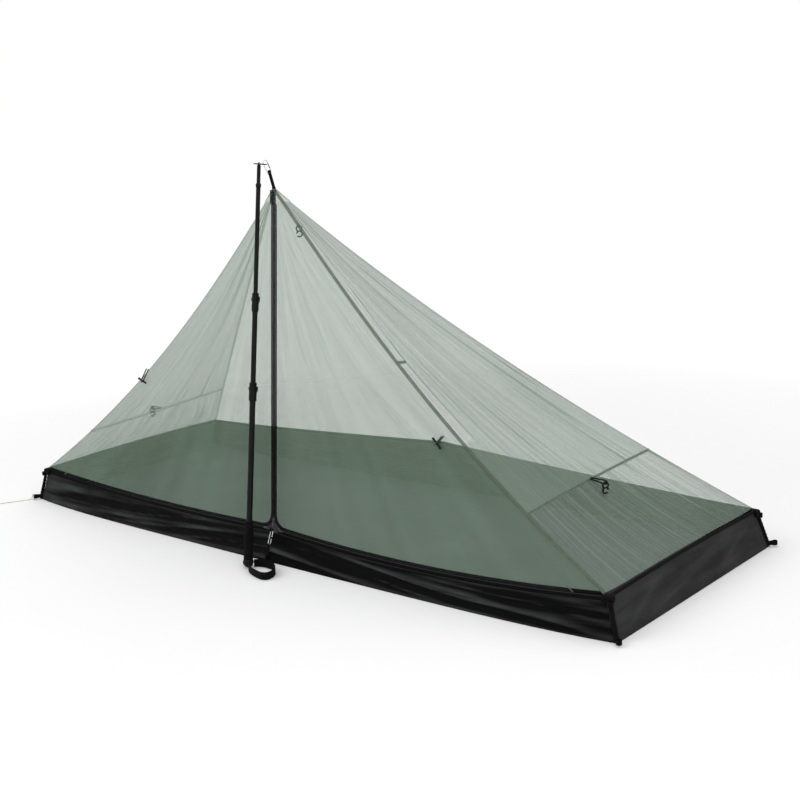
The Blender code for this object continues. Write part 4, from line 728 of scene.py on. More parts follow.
def softened(profile, radius, closed=False, count=3):  # rounds the corners of a section
    points = [Vector(p) for p in profile]
    last = len(points) - 1
    out = []
    for i, spot in enumerate(points):
        if not closed and i in (0, last):
            out.append(tuple(spot))
            continue
        before, after = points[i - 1], points[(i + 1) % len(points)]
        reach = min(radius, (before - spot).length * 0.45, (after - spot).length * 0.45)
        start = spot + (before - spot).normalized() * reach
        stop = spot + (after - spot).normalized() * reach
        for s in steps(count):
            out.append(tuple(start.lerp(spot, s).lerp(spot.lerp(stop, s), s)))
    return out


def plateMesh(name, loops, thickness, placing, edge=0.0003):
    curve = bpy.data.curves.new(name, "CURVE")
    curve.dimensions = "2D"
    curve.fill_mode = "BOTH"
    curve.extrude = thickness / 2 - edge
    curve.bevel_depth = edge
    curve.bevel_resolution = 2
    curve.offset = -edge
    for loop in loops:
        spline = curve.splines.new("POLY")
        spline.points.add(len(loop) - 1)
        spline.use_cyclic_u = True
        for point, spot in zip(spline.points, loop):
            point.co = (spot[0], spot[1], 0, 1)
    holder = bpy.data.objects.new(name, curve)
    scene.collection.objects.link(holder)
    bpy.context.view_layer.update()
    mesh = bpy.data.meshes.new_from_object(holder.evaluated_get(bpy.context.evaluated_depsgraph_get()))
    bpy.data.objects.remove(holder, do_unlink=True)
    shape = bmesh.new()
    shape.from_mesh(mesh)
    bmesh.ops.remove_doubles(shape, verts=shape.verts, dist=0.000001)
    shape.transform(placing)
    return finished(shape, name, 35)


def joined(name, meshes, sharp=35):
    shape = bmesh.new()
    for mesh in meshes:
        shape.from_mesh(mesh)
    return finished(shape, name, sharp)


# Cords: guy cord, then the elastics of the hooks and toggles
guyCord = {
    "radius": 0.0010,
    "turn": 15,  # degrees from the corner's diagonal
    "points": 60,
    "route": [
        (0.0266, 0.0018, 0.0026),
        (0.0242, 0.0015, 0.0014),
        (0.0218, 0.0010, 0.0013),
        (0.0199, 0.0005, 0.0026),
        (0.0192, 0.0001, 0.0060),
        (0.0192, -0.0003, 0.0120),
        (0.0200, -0.0006, 0.0162),
        (0.0222, -0.0009, 0.0184),
        (0.0244, -0.0012, 0.0166),
        (0.0257, -0.0014, 0.0120),
        (0.0274, -0.0017, 0.0066),
        (0.0306, -0.0020, 0.0030),
        (0.0360, -0.0022, 0.0014),
        (0.0450, -0.0026, 0.0012),
        (0.0600, -0.0031, 0.0012),
        (0.0750, -0.0037, 0.0012),
        (0.0900, -0.0043, 0.0012),
        (0.1050, -0.0049, 0.0012),
        (0.1200, -0.0056, 0.0012),
        (0.1330, -0.0062, 0.0012),
        (0.1395, -0.0092, 0.0012),
        (0.1460, -0.0114, 0.0012),
        (0.1520, -0.0090, 0.0012),
        (0.1535, -0.0045, 0.0012),
        (0.1500, -0.0008, 0.0012),
        (0.1445, 0.0000, 0.0012),
        (0.1395, -0.0028, 0.0012),
    ],
}
guyAhead = Matrix.Rotation(math.radians(guyCord["turn"]), 3, "Z") @ Vector((-1, -1, 0)).normalized()


def guyPoint(share):
    ahead, sideways, height = eased(guyCord["route"], share)
    spot = cornerFoot(-1, -1) + guyAhead * ahead + guyAhead.cross(up) * -sideways
    return Vector((spot.x, spot.y, height))


def cordPiece(name, path, radius, material, body, node):
    mesh = tubeMesh(name, path, radius)
    piece = addPiece(name, mesh, material, body, (node,))
    tuple(path[0])
    pathLength(path)
    [tuple(p) for p in path]
    return piece


guyPath = [guyPoint(s) for s in steps(guyCord["points"])]
cordPiece("guyLine", guyPath, guyCord["radius"], cordCover, "root", "guy_cord")

hooks = {
    "ring": 0.0073,
    "wire": 0.0020,
    "spacing": 0.0140,
    "mouth": math.radians(38),
    "elastic": 0.0018,
    "spread": 0.0019,
    "band": 0.0042,
    "turned": -35,  # degrees
    "slack": 0.0003,
    "reach": 0.046,
    "lanternReach": 0.030,
    "lanternDrop": 0.100,
    "lanternWay": (-0.74, 0.67, 0),
    "seamFront": 0.253,
    "seamBack": 0.277,
    "edgeRound": 0.0009,
}
seamFrontShare = ridgeShare(hooks["seamFront"])
seamBackShare = ridgeShare(hooks["seamBack"])
ridgeTrim = tent["ridgeTape"] + tent["seamInset"]


def endSeam(side, share):
    front = ridge(side, -1, seamFrontShare)
    back = ridge(side, 1, seamBackShare)
    inner = trimmed(front, back, ridgeTrim + tent["seamTape"])
    outer = trimmed(back, front, ridgeTrim + tent["seamTape"])
    spot = inner.lerp(outer, share)
    spot.x -= side * tent["panelSag"] * hump(share) / 4
    return spot


def elasticPath(start, out, across, reach, far, near):
    centre = start + out * reach
    turn = [
        centre + out * (far * math.cos(a)) + across * (far * math.sin(a))
        for a in [math.pi / 2 - math.pi * s for s in steps(12)]
    ]
    run = [(s, near + (far - near) * s) for s in steps(12)[:-1]]
    upper = [start + out * reach * s + across * wide for s, wide in run]
    lower = [start + out * reach * s - across * wide for s, wide in run]
    return upper + turn + lower[::-1]


def figureEight(placing, name):
    rOut = hooks["ring"] + hooks["wire"]
    rIn = hooks["ring"] - hooks["wire"]
    waist = math.acos(hooks["spacing"] / 2 / rOut)
    mouth = math.pi / 2
    low = (hooks["spacing"], 0)
    upper = arc((0, 0), rOut, waist, 2 * math.pi - waist, 30)
    before = arc(low, rOut, math.pi + waist, 2 * math.pi + mouth - hooks["mouth"], 24)
    around = arc(low, rIn, 2 * math.pi + mouth - hooks["mouth"], mouth + hooks["mouth"] / 4, 26)
    after = arc(low, rOut, mouth + hooks["mouth"] / 4, math.pi - waist, 6)
    outer = upper[:-1] + before + around + after[:-1]
    return plateMesh(name, [outer, circle((0, 0), rIn, 28)], 2 * hooks["wire"], placing, hooks["edgeRound"])


def addHook(word, start, centre, material, turn=0.0):
    body = bodyOf[word]
    run = centre - start
    out = run.normalized()
    sideways = up.cross(out).normalized()
    faced = Matrix.Rotation(math.radians(turn), 3, "Z") @ sideways
    far = hooks["wire"] * 2**0.5 + hooks["slack"] + hooks["elastic"]
    hook = addPiece(
        f"{word}Hook", figureEight(axes(centre - up * hooks["ring"], -up, faced), f"{word}Hook"),
        material, body, (f"{body}_hook",),
    )
    path = elasticPath(start, out, out.cross(sideways), run.length, far, hooks["spread"])
    cordPiece(
        f"{word}Elastic", path, hooks["elastic"], elastic, body, f"{body}_cord",
    )


bodyOf = {"tieoutLeft": "tieout_left", "tieoutRight": "tieout_right", "lantern": "lantern"}
for side, word in ((-1, "tieoutLeft"), (1, "tieoutRight")):
    seam = endSeam(side, 0.5)
    out = Vector((side, 0, 0))
    start = seam + out * (tent["seamTape"] + tent["touch"])
    start += up * (hooks["elastic"] + hooks["spread"] + tent["touch"])
    addHook(word, start, seam + out * hooks["reach"], blackPlastic, hooks["turned"])
lanternSeam = ridge(1, -1, ridgeShare(apex.z - hooks["lanternDrop"]))
lanternWay = Vector(hooks["lanternWay"]).normalized()
lanternStart = lanternSeam + lanternWay * (tent["ridgeTape"] + hooks["elastic"] + tent["touch"])
lanternCentre = lanternSeam + lanternWay * hooks["lanternReach"]
addHook("lantern", lanternStart, lanternCentre, greyPlastic)

toggles = {
    "length": 0.036,
    "radius": 0.0029,
    "waist": 0.7,
    "clear": 0.0008,
    "net": 0.0005,
    "rightSpot": (0.05035, 0.393),  # setback from the fold, height
    "rightAnchor": (0.0105, 0.412),
    "rightLift": 0.0004,
    "leftSpot": (0.01242, 0.443),
    "leftHeight": 0.477,
    "leftLift": 0.0046,
    "groove": 0.0028,
    "ribs": 5,  # towards each end
    "ribPitch": 0.0022,
    "ribSlope": 0.0009,
    "ribWidth": 0.0016,
    "ribValley": 0.86,
    "flare": 0.3,
    "flareFrom": 0.55,
    "edgeRound": 0.0003,
}


def frontPoint(side, setback, height):
    edge = foldAt(side, height)
    return zipLine(height).lerp(edge, 1 - setback / abs(edge.x))


def toggleProfile():
    t = toggles
    end = t["length"] / 2
    r = t["radius"]
    ribs = []
    for k in range(t["ribs"]):
        z = end - r / 2 - k * t["ribPitch"]
        ribs += [(r, z), (r * t["ribValley"], z - t["ribSlope"]), (r, z - t["ribWidth"])]
    run = 1 - t["flareFrom"]
    ribs = [(a * (1 + t["flare"] * max(0, z / end - t["flareFrom"]) / run), z) for a, z in ribs]
    top = [(0, end), (r * 0.7, end)] + ribs + [(r * t["waist"], t["groove"])]
    return top + [(a, -z) for a, z in reversed(top)]


def addToggle(word, body, start, foot, lift):
    far = toggles["radius"] * toggles["waist"] + hooks["slack"] + hooks["elastic"]
    first = start + zipOut * (toggles["net"] / 2 + tent["touch"] + hooks["elastic"] + hooks["band"])
    centre = foot + zipOut * (toggles["net"] / 2 + toggles["clear"] + hooks["elastic"] + far + lift)
    run = centre - first
    out = run.normalized()
    across = out.cross(zipOut).normalized().cross(out)
    profile = softened(toggleProfile(), toggles["edgeRound"])
    bar = spunMesh(f"toggleBar{word}", profile, axes(centre, out, across * -1), count=24)
    node = word.lower()
    piece = addPiece(f"toggleBar{word}", bar, blackPlastic, body, (f"toggle_{node}",))
    path = elasticPath(first, out, across, run.length, far, hooks["band"])
    cordPiece(
        f"toggleElastic{word}", path, hooks["elastic"], greyElastic, body,
        f"toggle_cord_{node}",
    )


rightStart = frontPoint(1, *toggles["rightAnchor"]) + zipOut * toggles["rightLift"]
addToggle("Right", "toggle_right", rightStart, frontPoint(1, *toggles["rightSpot"]), toggles["rightLift"])
leftStart = ridge(-1, -1, ridgeShare(toggles["leftHeight"])) + zipOut * (tent["ridgeTape"] + tent["seamGap"])
addToggle("Left", "toggle_left", leftStart, frontPoint(-1, *toggles["leftSpot"]), toggles["leftLift"])
print("stage: cords, hooks and toggles")


# Tray floor
trayValues = {
    "wrinkle": 0.0016,
    "drape": 0.006,
    "fineDrape": 0.00288,
    "endDrape": 0.0045,
    "bulgePower": 6,
    "wall": 0.0007,
    "frontShade": (0.42, 0.3, 1.1, 0.8),  # painted shade and light: base, lighter left half, long and short creases
    "endShade": (0.55, 1.2),
    "backRisePower": 1.3,
}


def groundEdge(xShare):
    bulge = tent["frontBulge"] * (1 - abs(xShare) ** trayValues["bulgePower"]) * (1 - xShare**2 / 5)
    return -tent["width"] / 2 - bulge


def creases(position, sharpness=2.0):  # folds with soft valleys and crisp crests
    return (1 - abs(math.sin(position))) ** sharpness


def floorPlace(u, v):
    xShare = 2 * u - 1
    front = groundEdge(xShare)
    y = front + (tent["width"] / 2 - front) * v
    x = xShare * tent["length"] / 2
    fade = min(1, hump(u) * 4) * min(1, hump(v) * 3)
    lift = creases(x * 5.3 + y * 3.1) + creases(x * 2.1 - y * 8.7 + 1) + 0.6 * creases(x * 9.2 - y * 4.4 + 2)
    return Vector((x, y, tent["sheet"] / 2 + trayValues["wrinkle"] * lift * fade / 2))


def frontFolds(xShare, v):  # long creases that run down towards the corners, and short ones across them
    side = 1 if xShare >= 0 else -1
    run = abs(xShare)
    fade = hump(v) ** 0.7 * (1 - xShare**10)
    long = creases(v * 4.6 - run * 4.2 + 0.5 * side, 1.6) - 0.45
    short = creases(v * 8.5 - run * 9.5 + 1.3 * side + 0.6 * math.sin(run * 9), 2.2) - 0.3
    return long * fade, short * fade


def frontWallPlace(u, v):
    xShare = 2 * u - 1
    side = 1 if xShare >= 0 else -1
    top = zipArc(side, abs(xShare), -panelInset - 2 * tent["touch"])
    low = Vector((xShare * tent["length"] / 2, groundEdge(xShare), wallFoot))
    reach = tent["length"] / 2 - wallTrim
    top.x = max(-reach + tent["cornerInsetX"], min(reach - tent["cornerInsetX"], top.x))
    low.x = max(-reach, min(reach, low.x))
    spot = top.lerp(low, v)
    long, short = frontFolds(xShare, v)
    spot.y -= trayValues["drape"] * long + trayValues["fineDrape"] * short
    return spot


# Painted shade for the front wall's second map: dark in the creases' valleys, light on their crests, and
# lighter over the left half
def frontShade(u, v):
    long, short = frontFolds(2 * u - 1, v)
    base, left, longShare, shortShare = trayValues["frontShade"]
    return u, min(1, max(0, base + left * max(0, 1 - 2 * u) + longShare * long + shortShare * short))


def backHeight(xShare):
    return tent["cornerHeight"] + tent["backRise"] * (1 - abs(xShare)) ** trayValues["backRisePower"]


def endHeight(share):
    return tent["cornerHeight"] + tent["endRise"] * hump(share)


def backWallPlace(u, v):
    xShare = 2 * u - 1
    reach = tent["length"] / 2 - wallTrim
    topY = tent["width"] / 2 - tent["cornerInsetY"]
    top = Vector((xShare * (reach - tent["cornerInsetX"]), topY, backHeight(xShare) - wallHead))
    low = Vector((xShare * reach, tent["width"] / 2, wallFoot))
    spot = low.lerp(top, v)
    folds = creases(xShare * 7 + v * 1.7, 1.5) + creases(xShare * 13 - v * 2.6, 2) - 0.7
    spot.y += trayValues["drape"] * hump(v) * folds / 2.5
    return spot


def endFolds(u, v):  # creases that radiate from the front foot and the back top of the wall
    fromFoot = creases(math.atan2(v + 0.12, u + 0.03) * 7.5, 2.4)
    fromTop = creases(math.atan2(1.15 - v, 1.05 - u) * 8.0, 2.4)
    return hump(v) * hump(u) * (fromFoot * (1 - u) + fromTop * u - 0.28)


# Painted shade for the end walls' second map: dark in the creases' valleys, light on their crests
def endShade(u, v):
    base, share = trayValues["endShade"]
    return u, min(1, max(0, base + share * endFolds(u, v)))


def endWallPlace(side):
    def place(u, v):
        reach = tent["width"] / 2 - wallTrim
        low = Vector((side * tent["length"] / 2, (2 * u - 1) * reach, wallFoot))
        top = Vector((side * (tent["length"] / 2 - tent["cornerInsetX"]), 0, endHeight(u) - wallHead))
        top.y = (2 * u - 1) * (reach - tent["cornerInsetY"])
        spot = low.lerp(top, v)
        spot.x += side * endFolds(u, v) * trayValues["endDrape"]
        return spot

    return place


length, width = tent["length"], tent["width"]
sheetPiece(
    "floorSheet", floorPlace, (150, 56), (length, width + 0.03), groundCloth,
    replaced=("groundsheet",),
)
for name, place, grid, flat, cloth, node, shade in (
    ("frontWall", frontWallPlace, (260, 18), (length, 0.095), frontShadedCloth, "wall_front", frontShade),
    ("backWall", backWallPlace, (160, 12), (length, 0.125), wallCloth, "wall_back", None),
    ("leftWall", endWallPlace(-1), (70, 16), (width, 0.103), wallCloth, "wall_left", endShade),
    ("rightWall", endWallPlace(1), (70, 16), (width, 0.103), wallCloth, "wall_right", endShade),
):
    sheetPiece(
        name, place, grid, flat, cloth, replaced=(node,), wall=trayValues["wall"],
        fanAt=shade,
    )

bindingValues = {"width": 0.0095, "thickness": 0.0030, "turn": 0.005}


def bindingRoute():
    x = tent["length"] / 2 - tent["cornerInsetX"]
    y = tent["width"] / 2 - tent["cornerInsetY"]
    turn = bindingValues["turn"]
    low = tent["cornerClear"] + tent["cornerWeb"] - y
    ends = [low + (y - turn - low) * s for s in steps(28)]
    end = [(v, endHeight((v + y) / (2 * y))) for v in ends]
    back = [(x - turn) * (2 * s - 1) for s in steps(80)]
    corner = arc((-x + turn, y - turn), turn, math.pi, math.pi / 2, 8)[1:-1]
    route = [(-x, v, z) for v, z in end] + [(*spot, tent["cornerHeight"]) for spot in corner]
    route += [(v, y, backHeight(v / (x - turn))) for v in back]
    route += [(-spot[0], spot[1], tent["cornerHeight"]) for spot in reversed(corner)]
    return [Vector(p) for p in route + [(x, v, z) for v, z in reversed(end)]]


section = roundBar(bindingValues["width"], bindingValues["thickness"])
binding = sweptMesh("wallBinding", bindingRoute(), section, up)
addPiece("wallBinding", binding, webbing, "root", ("wall_binding",))
print("stage: tray floor")


# Net panels
netValues = {
    "fine": 0.0016,
    "endPleats": 4,
    "backPleats": 5,
    "fineRun": 17,
    "tinyShare": 0.6,
    "tinyRun": 31,
    "seamRise": 0.3,
    "settlePower": 8,
    "doorRipple": (0.0008, 13),
    "doorSwell": (0.0007, 5),
}
panelStop = ridgeShare(tent["cornerHeight"] + wallTrim)


def pleats(u, v, count):
    main = tent["pleat"] * math.sin(2 * math.pi * count * u)
    small = netValues["fine"] * math.sin(2 * math.pi * netValues["fineRun"] * u + 3 * math.sin(5 * u) + v)
    turns = 2 * math.pi * netValues["tinyRun"] * u
    tiny = netValues["fine"] * netValues["tinyShare"] * math.sin(turns + 4 * math.sin(9 * u) - 1.5 * v)
    return hump(u) * hump(v) ** 0.5 * (main + small + tiny)


def betweenRidges(sideA, depthA, sideB, depthB):
    def edgeA(t):
        return trimmed(ridge(sideA, depthA, t), ridge(sideB, depthB, t), tent["netLap"])

    def edgeB(t):
        return trimmed(ridge(sideB, depthB, t), ridge(sideA, depthA, t), tent["netLap"])

    return edgeA, edgeB


def seamSag(side, u):
    return side * tent["panelSag"] * hump(u) / 4


def settled(u):  # how far a panel's foot lies below the line between its corners
    return (wallTrim - tent["binding"] / 2) * (1 - (2 * u - 1) ** netValues["settlePower"])


def endUpperPlace(side):
    front, back = betweenRidges(side, -1, side, 1)
    reachFront = seamFrontShare - topShare
    reachBack = seamBackShare - topShare
    rise = up * (tent["seamTape"] * netValues["seamRise"])

    def left(v):
        return front(topShare + reachFront * v) + rise * v

    def rightEdge(v):
        return back(topShare + reachBack * v) + rise * v

    def bottom(u):
        spot = left(1).lerp(rightEdge(1), u)
        spot.x -= seamSag(side, u)
        return spot

    place = stretched(left, rightEdge, straight(left(0), rightEdge(0)), bottom)

    def shaped(u, v):
        spot = place(u, v)
        spot.x -= side * (tent["panelSag"] * hump(u) * hump(v) + pleats(u, v, netValues["endPleats"]))
        return spot

    return shaped


def endLowerPlace(side):
    front, back = betweenRidges(side, -1, side, 1)
    drop = up * (-tent["seamTape"] * netValues["seamRise"])

    def left(v):
        return front(seamFrontShare + (panelStop - seamFrontShare) * v) + drop * (1 - v)

    def rightEdge(v):
        return back(seamBackShare + (panelStop - seamBackShare) * v) + drop * (1 - v)

    def top(u):
        spot = left(0).lerp(rightEdge(0), u)
        spot.x -= seamSag(side, u)
        return spot

    def bottom(u):
        spot = left(1).lerp(rightEdge(1), u)
        spot.z += tent["endRise"] * hump(u) - settled(u)
        return spot

    place = stretched(left, rightEdge, top, bottom)

    def shaped(u, v):
        spot = place(u, v)
        spot.x -= side * (tent["panelSag"] * hump(u) * hump(v) / 2 + pleats(u, v, netValues["endPleats"]))
        return spot

    return shaped


def backPanelPlace():
    first, last = betweenRidges(-1, 1, 1, 1)

    def left(v):
        return first(topShare + (panelStop - topShare) * v)

    def rightEdge(v):
        return last(topShare + (panelStop - topShare) * v)

    def bottom(u):
        spot = left(1).lerp(rightEdge(1), u)
        spot.z += backHeight(2 * u - 1) - tent["cornerHeight"] - settled(u)
        return spot

    place = stretched(left, rightEdge, straight(left(0), rightEdge(0)), bottom)

    def shaped(u, v):
        spot = place(u, v)
        spot.y -= tent["backPanelSag"] * hump(u) * hump(v) + pleats(u, v, netValues["backPleats"])
        return spot

    return shaped


def areaOf(place, count=24):  # of the cloth as it hangs
    points = [[place(i / count, j / count) for i in range(count + 1)] for j in range(count + 1)]
    total = 0.0
    for j in range(count):
        for i in range(count):
            a, b, c, d = points[j][i], points[j][i + 1], points[j + 1][i + 1], points[j + 1][i]
            total += ((b - a).cross(c - a).length + (c - a).cross(d - a).length) / 2
    return total


def netPiece(name, place, grid, flat, material, body, node, flip=False):
    area = min(areaOf(place), flat[0] * flat[1])
    sheetPiece(name, place, grid, flat, material, body, (node,), flip=flip)


for side, word in ((-1, "Left"), (1, "Right")):
    node = word.lower()
    flip = side < 0
    upperNet, lowerNet = (netEndLeft, netLowLeft) if flip else (netEndRight, netLowRight)
    upper, lower = f"end_panel_{node}_upper", f"end_panel_{node}_lower"
    netPiece(f"netUpper{word}", endUpperPlace(side), (120, 60), (0.62, 1.13), upperNet, "root", upper, flip)
    netPiece(f"netLower{word}", endLowerPlace(side), (120, 20), (0.76, 0.29), lowerNet, "root", lower, flip)
netPiece("netBack", backPanelPlace(), (160, 70), (2.14, 1.10), netBackCloth, "root", "back_panel")
print("stage: end and back panels")


# Seams: flat tape along each ridge and across each end, and a short tab beside the right front ridge
seamValues = {
    "width": 0.0088,
    "thickness": 0.0030,
    "edgeWidth": 0.0065,
    "endWidth": 0.0080,
    "endThickness": 0.0018,
    "endLap": 0.012,
    "cornerTrim": 0.0105,
    "lean": (0.75, 0.65, 0.3),
    "apexTuck": 0.001,
    "apexDrop": 0.002,
}
tabValues = {
    "reach": 0.118,
    "down": 0.55,
    "slant": 0.01,
    "lift": (0.0012, -0.0008, 0),
    "width": 0.0075,
    "thickness": 0.0010,
}
patchValues = {
    "top": 0.008,
    "lap": 0.0015,
    "headGap": 0.0002,
    "headTop": 0.004,
    "headLift": 0.0040,
    "headEase": 0.010,
    "round": 0.0020,
    "tack": (0.010, 0.007, 0.009),
    "tackRound": 0.002,
}


def seamPath(side, depth):
    start = ridgeShare(patchBase - tent["ridgeTape"] - tent["seamGap"])
    stop = 1 - seamValues["cornerTrim"] / (cornerTop(1, -1) - apex).length
    outward = Vector((side, depth, 0))
    base = ridge(side, depth, ridgeShare(patchBase)) + outward * patchValues["lap"]
    top = apex + outward * (patchValues["top"] / 2 - seamValues["apexTuck"]) - up * seamValues["apexDrop"]
    head = [top.lerp(base, s) for s in steps(8)]
    return head + [ridge(side, depth, start + (stop - start) * s) for s in steps(90)]


def addSeam(name, path, width, thickness, sideways, cloth, count):
    mesh = sweptMesh(name, path, roundBar(width, thickness, count), sideways)
    addPiece(name, mesh, cloth, "root")


for side, word in ((-1, "Left"), (1, "Right")):
    for depth, end in ((-1, "Front"), (1, "Back")):
        path = seamPath(side, depth)
        leanX, leanY, leanZ = seamValues["lean"]
        outward = Vector((side * leanX, depth * leanY, leanZ)).normalized()
        sideways = (path[-1] - path[0]).cross(outward).normalized()
        dark = (side, depth) == (1, -1)  # the right front seam is the boldest
        wide = seamValues["width" if dark else "edgeWidth"]
        cloth = seamCloth if dark else seamEdge
        addSeam(f"seam{end}{word}", path, wide, seamValues["thickness"], sideways, cloth, 5)
    lap = seamValues["endLap"]
    path = [endSeam(side, -lap + (1 + 2 * lap) * s) for s in steps(40)]
    cloth = seamPale if side > 0 else seamEdge
    addSeam(f"seamEnd{word}", path, seamValues["endWidth"], seamValues["endThickness"], up, cloth, 4)
place = endUpperPlace(1)
path = []
for s in steps(10):
    spot = place(tabValues["reach"] * s, tabValues["down"] + tabValues["slant"] * s)
    path.append(spot + Vector(tabValues["lift"]))
addSeam("ridgeTab", path, tabValues["width"], tabValues["thickness"], up, seamCloth, 3)
print("stage: seams")


# Doors, the fixed strips beside them and the zips
def cornerCut(side, inset, share):
    cut = zips["doorCornerCut"]
    start = zipLine(zipFoot.z + cut) + Vector((side * inset, 0, 0))
    stop = zipArc(side, cut / zipSpan, inset)
    bend = zipArc(side, inset / zipSpan, inset)
    return start.lerp(bend, share).lerp(bend.lerp(stop, share), share)


def doorEdge(side, inset, share):
    top = foldPoint(side, doorTopShare).z
    begin, end = zips["doorCornerFrom"], zips["doorCornerTo"]
    if share < begin:
        height = top + (zipFoot.z + zips["doorCornerCut"] - top) * share / begin
        return zipLine(height) + Vector((side * inset, 0, 0))
    if share < end:
        return cornerCut(side, inset, (share - begin) / (end - begin))
    start = zips["doorCornerCut"] / zipSpan
    foldStop = zips["foldEnd"] - zips["foldGap"] / zipSpan
    along = (share - end) / (1 - end)
    lean = inset * foldLean() / zipSpan
    return zipArc(side, start + (foldStop - lean - start) * along, inset)


def doorPlace(side):
    begin = zips["doorCornerFrom"]
    inset = panelInset - zips["doorLap"]

    def left(v):
        return doorEdge(side, inset, begin * v)

    lowShare = 1 - inset / (foldPoint(side, 0).z - foldPoint(side, 1).z)

    def rightEdge(v):
        return foldPoint(side, doorTopShare + (lowShare - doorTopShare) * v) - Vector((foldGap(side), 0, 0))

    def bottom(u):
        spot = doorEdge(side, inset, begin + (1 - begin) * u)
        return spot + (rightEdge(1) - doorEdge(side, inset, 1.0)) * u**6

    place = stretched(left, rightEdge, straight(left(0), rightEdge(0)), bottom)

    def shaped(u, v):
        spot = place(u, v)
        ripple = tent["pleat"] * math.sin(8 * math.pi * u) / 2
        deep, runs = netValues["doorRipple"]
        ripple += deep * math.sin(2 * math.pi * runs * u + 4 * math.sin(6 * u) + 2 * v)
        deep, runs = netValues["doorSwell"]
        ripple += deep * math.sin(2 * math.pi * runs * v + 6 * u)
        return spot - zipOut * ripple * hump(u) * hump(v) ** 0.8

    return shaped


def stripPlace(side):
    low = foldPoint(side, 1).z + tapeInset
    high = patchBase - tent["seamGap"]
    doorTop = foldPoint(side, doorTopShare).z + zips["foldGap"]
    step = (high - doorTop) / (high - low)
    after = zips["stripStep"] + zips["stripRow"]

    def eachRow(v):  # one row of the grid lies along the door's top edge, where the strip steps in
        if v <= zips["stripStep"]:
            return step * v / zips["stripStep"]
        return step + (1 - step) * max(0, v - after) / (1 - after)

    def inner(v):
        height = high + (low - high) * eachRow(v)
        if v <= zips["stripStep"]:
            return zipLine(height) + Vector((side * panelInset, 0, 0))
        fold = foldAt(side, height)
        fold.x += foldGap(side)
        return fold

    def outer(v):
        spot = ridge(side, -1, topShare + (panelStop - topShare) * eachRow(v))
        return trimmed(spot, zipLine(spot.z), tent["netLap"])

    return stretched(inner, outer, straight(inner(0), outer(0)), straight(inner(1), outer(1)))


def flatTape(name, route, first, count, body, flip, cloth):
    def place(u, v):
        return route(first + tapeReach * v, u)

    mesh = gridMesh(name, place, (count, 3), lambda u, v: (v * tapeReach, u), flip=flip)
    piece = addPiece(name, mesh, cloth, body)
    solid = piece.modifiers.new("thickness", "SOLIDIFY")
    solid.thickness = zips["tape"]
    solid.offset = 0


def coilMesh(name, path):
    section = [(a * zips["coilWide"], b * zips["coilHigh"]) for a, b in disc(zips["coil"], 10)]
    return sweptMesh(name, path, section, zipOut)


def addCoil(name, path, body="root", replaced=()):
    addPiece(name, coilMesh(name, path), zipCoil, body, replaced)


wallZipStart = zips["park"] / 2 / zipSpan
wallZipStop = 1 - zips["endTrim"] / zipSpan
wallZipRun = wallZipStop - wallZipStart
for side, word in ((-1, "Left"), (1, "Right")):
    flip = side < 0
    node = word.lower()
    door = f"door_{node}"
    strip = f"ridge_strip_{node}"
    netPiece(f"doorNet{word}", doorPlace(side), (90, 60), (1.00, 0.86), netFront, door, door, flip)
    netPiece(f"stripNet{word}", stripPlace(side), (4, 100), (0.06, 1.30), netFront, "root", strip, flip)

    def doorRoute(inset, share, side=side):
        return doorEdge(side, inset, share)

    def wallRoute(inset, share, side=side):
        share = zips["tapeTrim"] + (1 - 2 * zips["tapeTrim"]) * share
        return zipArc(side, wallZipStart + wallZipRun * share, inset)

    addCoil(f"doorCoil{word}", [doorRoute(coilInset, s) for s in steps(180)], door, (f"zip_door_{node}",))
    flatTape(f"doorTape{word}", doorRoute, coilInset, 180, door, not flip, zipTape)
    path = [zipArc(side, wallZipStart + wallZipRun * s, -coilInset) for s in steps(150)]
    addCoil(f"wallCoil{word}", path, "root", (f"zip_wall_{node}",))
    flatTape(f"wallTape{word}", wallRoute, -coilInset - tapeReach, 150, "root", not flip, blackTape)
print("stage: doors and zips")


# Short upper coils and stops of the wall zips, past the doors
wallZipEnd = {"stop": (0.003, 0.0064, 0.0028), "stopRound": 0.0006}


def roundEdges(shape, radius, segments):
    bmesh.ops.bevel(
        shape, geom=list(shape.edges), offset=radius, segments=segments, profile=0.5, affect="EDGES",
        material=-1,
    )


def blockMesh(name, size, placing, edge):
    shape = bmesh.new()
    bmesh.ops.create_cube(shape, size=1)
    bmesh.ops.scale(shape, vec=size, verts=shape.verts)
    roundEdges(shape, edge, 3)
    shape.transform(placing)
    return finished(shape, name)


fromFold = zips["foldEnd"] + zips["foldGap"] / zipSpan
for side, word in ((-1, "Left"), (1, "Right")):
    path = [zipArc(side, fromFold + (wallZipStop - fromFold) * s, coilInset) for s in steps(12)]
    addCoil(f"wallCoilEnd{word}", path)

    def endRoute(inset, share, side=side):
        start = fromFold + (zips["tapeGap"] - inset * foldLean()) / zipSpan
        return zipArc(side, start + (wallZipStop - start) * share, inset)

    flatTape(f"wallTapeEnd{word}", endRoute, coilInset, 12, "root", side < 0, blackTape)
    end = zipArc(side, wallZipStop)
    placing = axes(end, zipArc(side, 1) - end, zipArc(side, wallZipStop, coilInset) - end)
    stop = blockMesh(f"zipStop{word}", wallZipEnd["stop"], placing, wallZipEnd["stopRound"])
    addPiece(f"zipStop{word}", stop, zipCoil, "root")

sliders = {
    "width": 0.009,
    "length": 0.012,
    "plate": 0.0009,
    "play": 0.0004,
    "post": 0.0008,
    "bailBore": 0.00095,
    "bail": 0.0015,
    "bailWidth": 0.0012,
    "bailSunk": 0.00015,
    "pullWidth": 0.005,
    "pullLength": 0.016,
    "pullThick": 0.0010,
    "pullBar": 0.0010,
    "window": (0.0021, 0.0026),
    "shoulder": 0.72,
    "round": 0.0016,
    "edgeRound": 0.0002,
    "fineRound": 0.0001,
}
sliderFace = zips["coil"] + sliders["play"] + sliders["plate"]


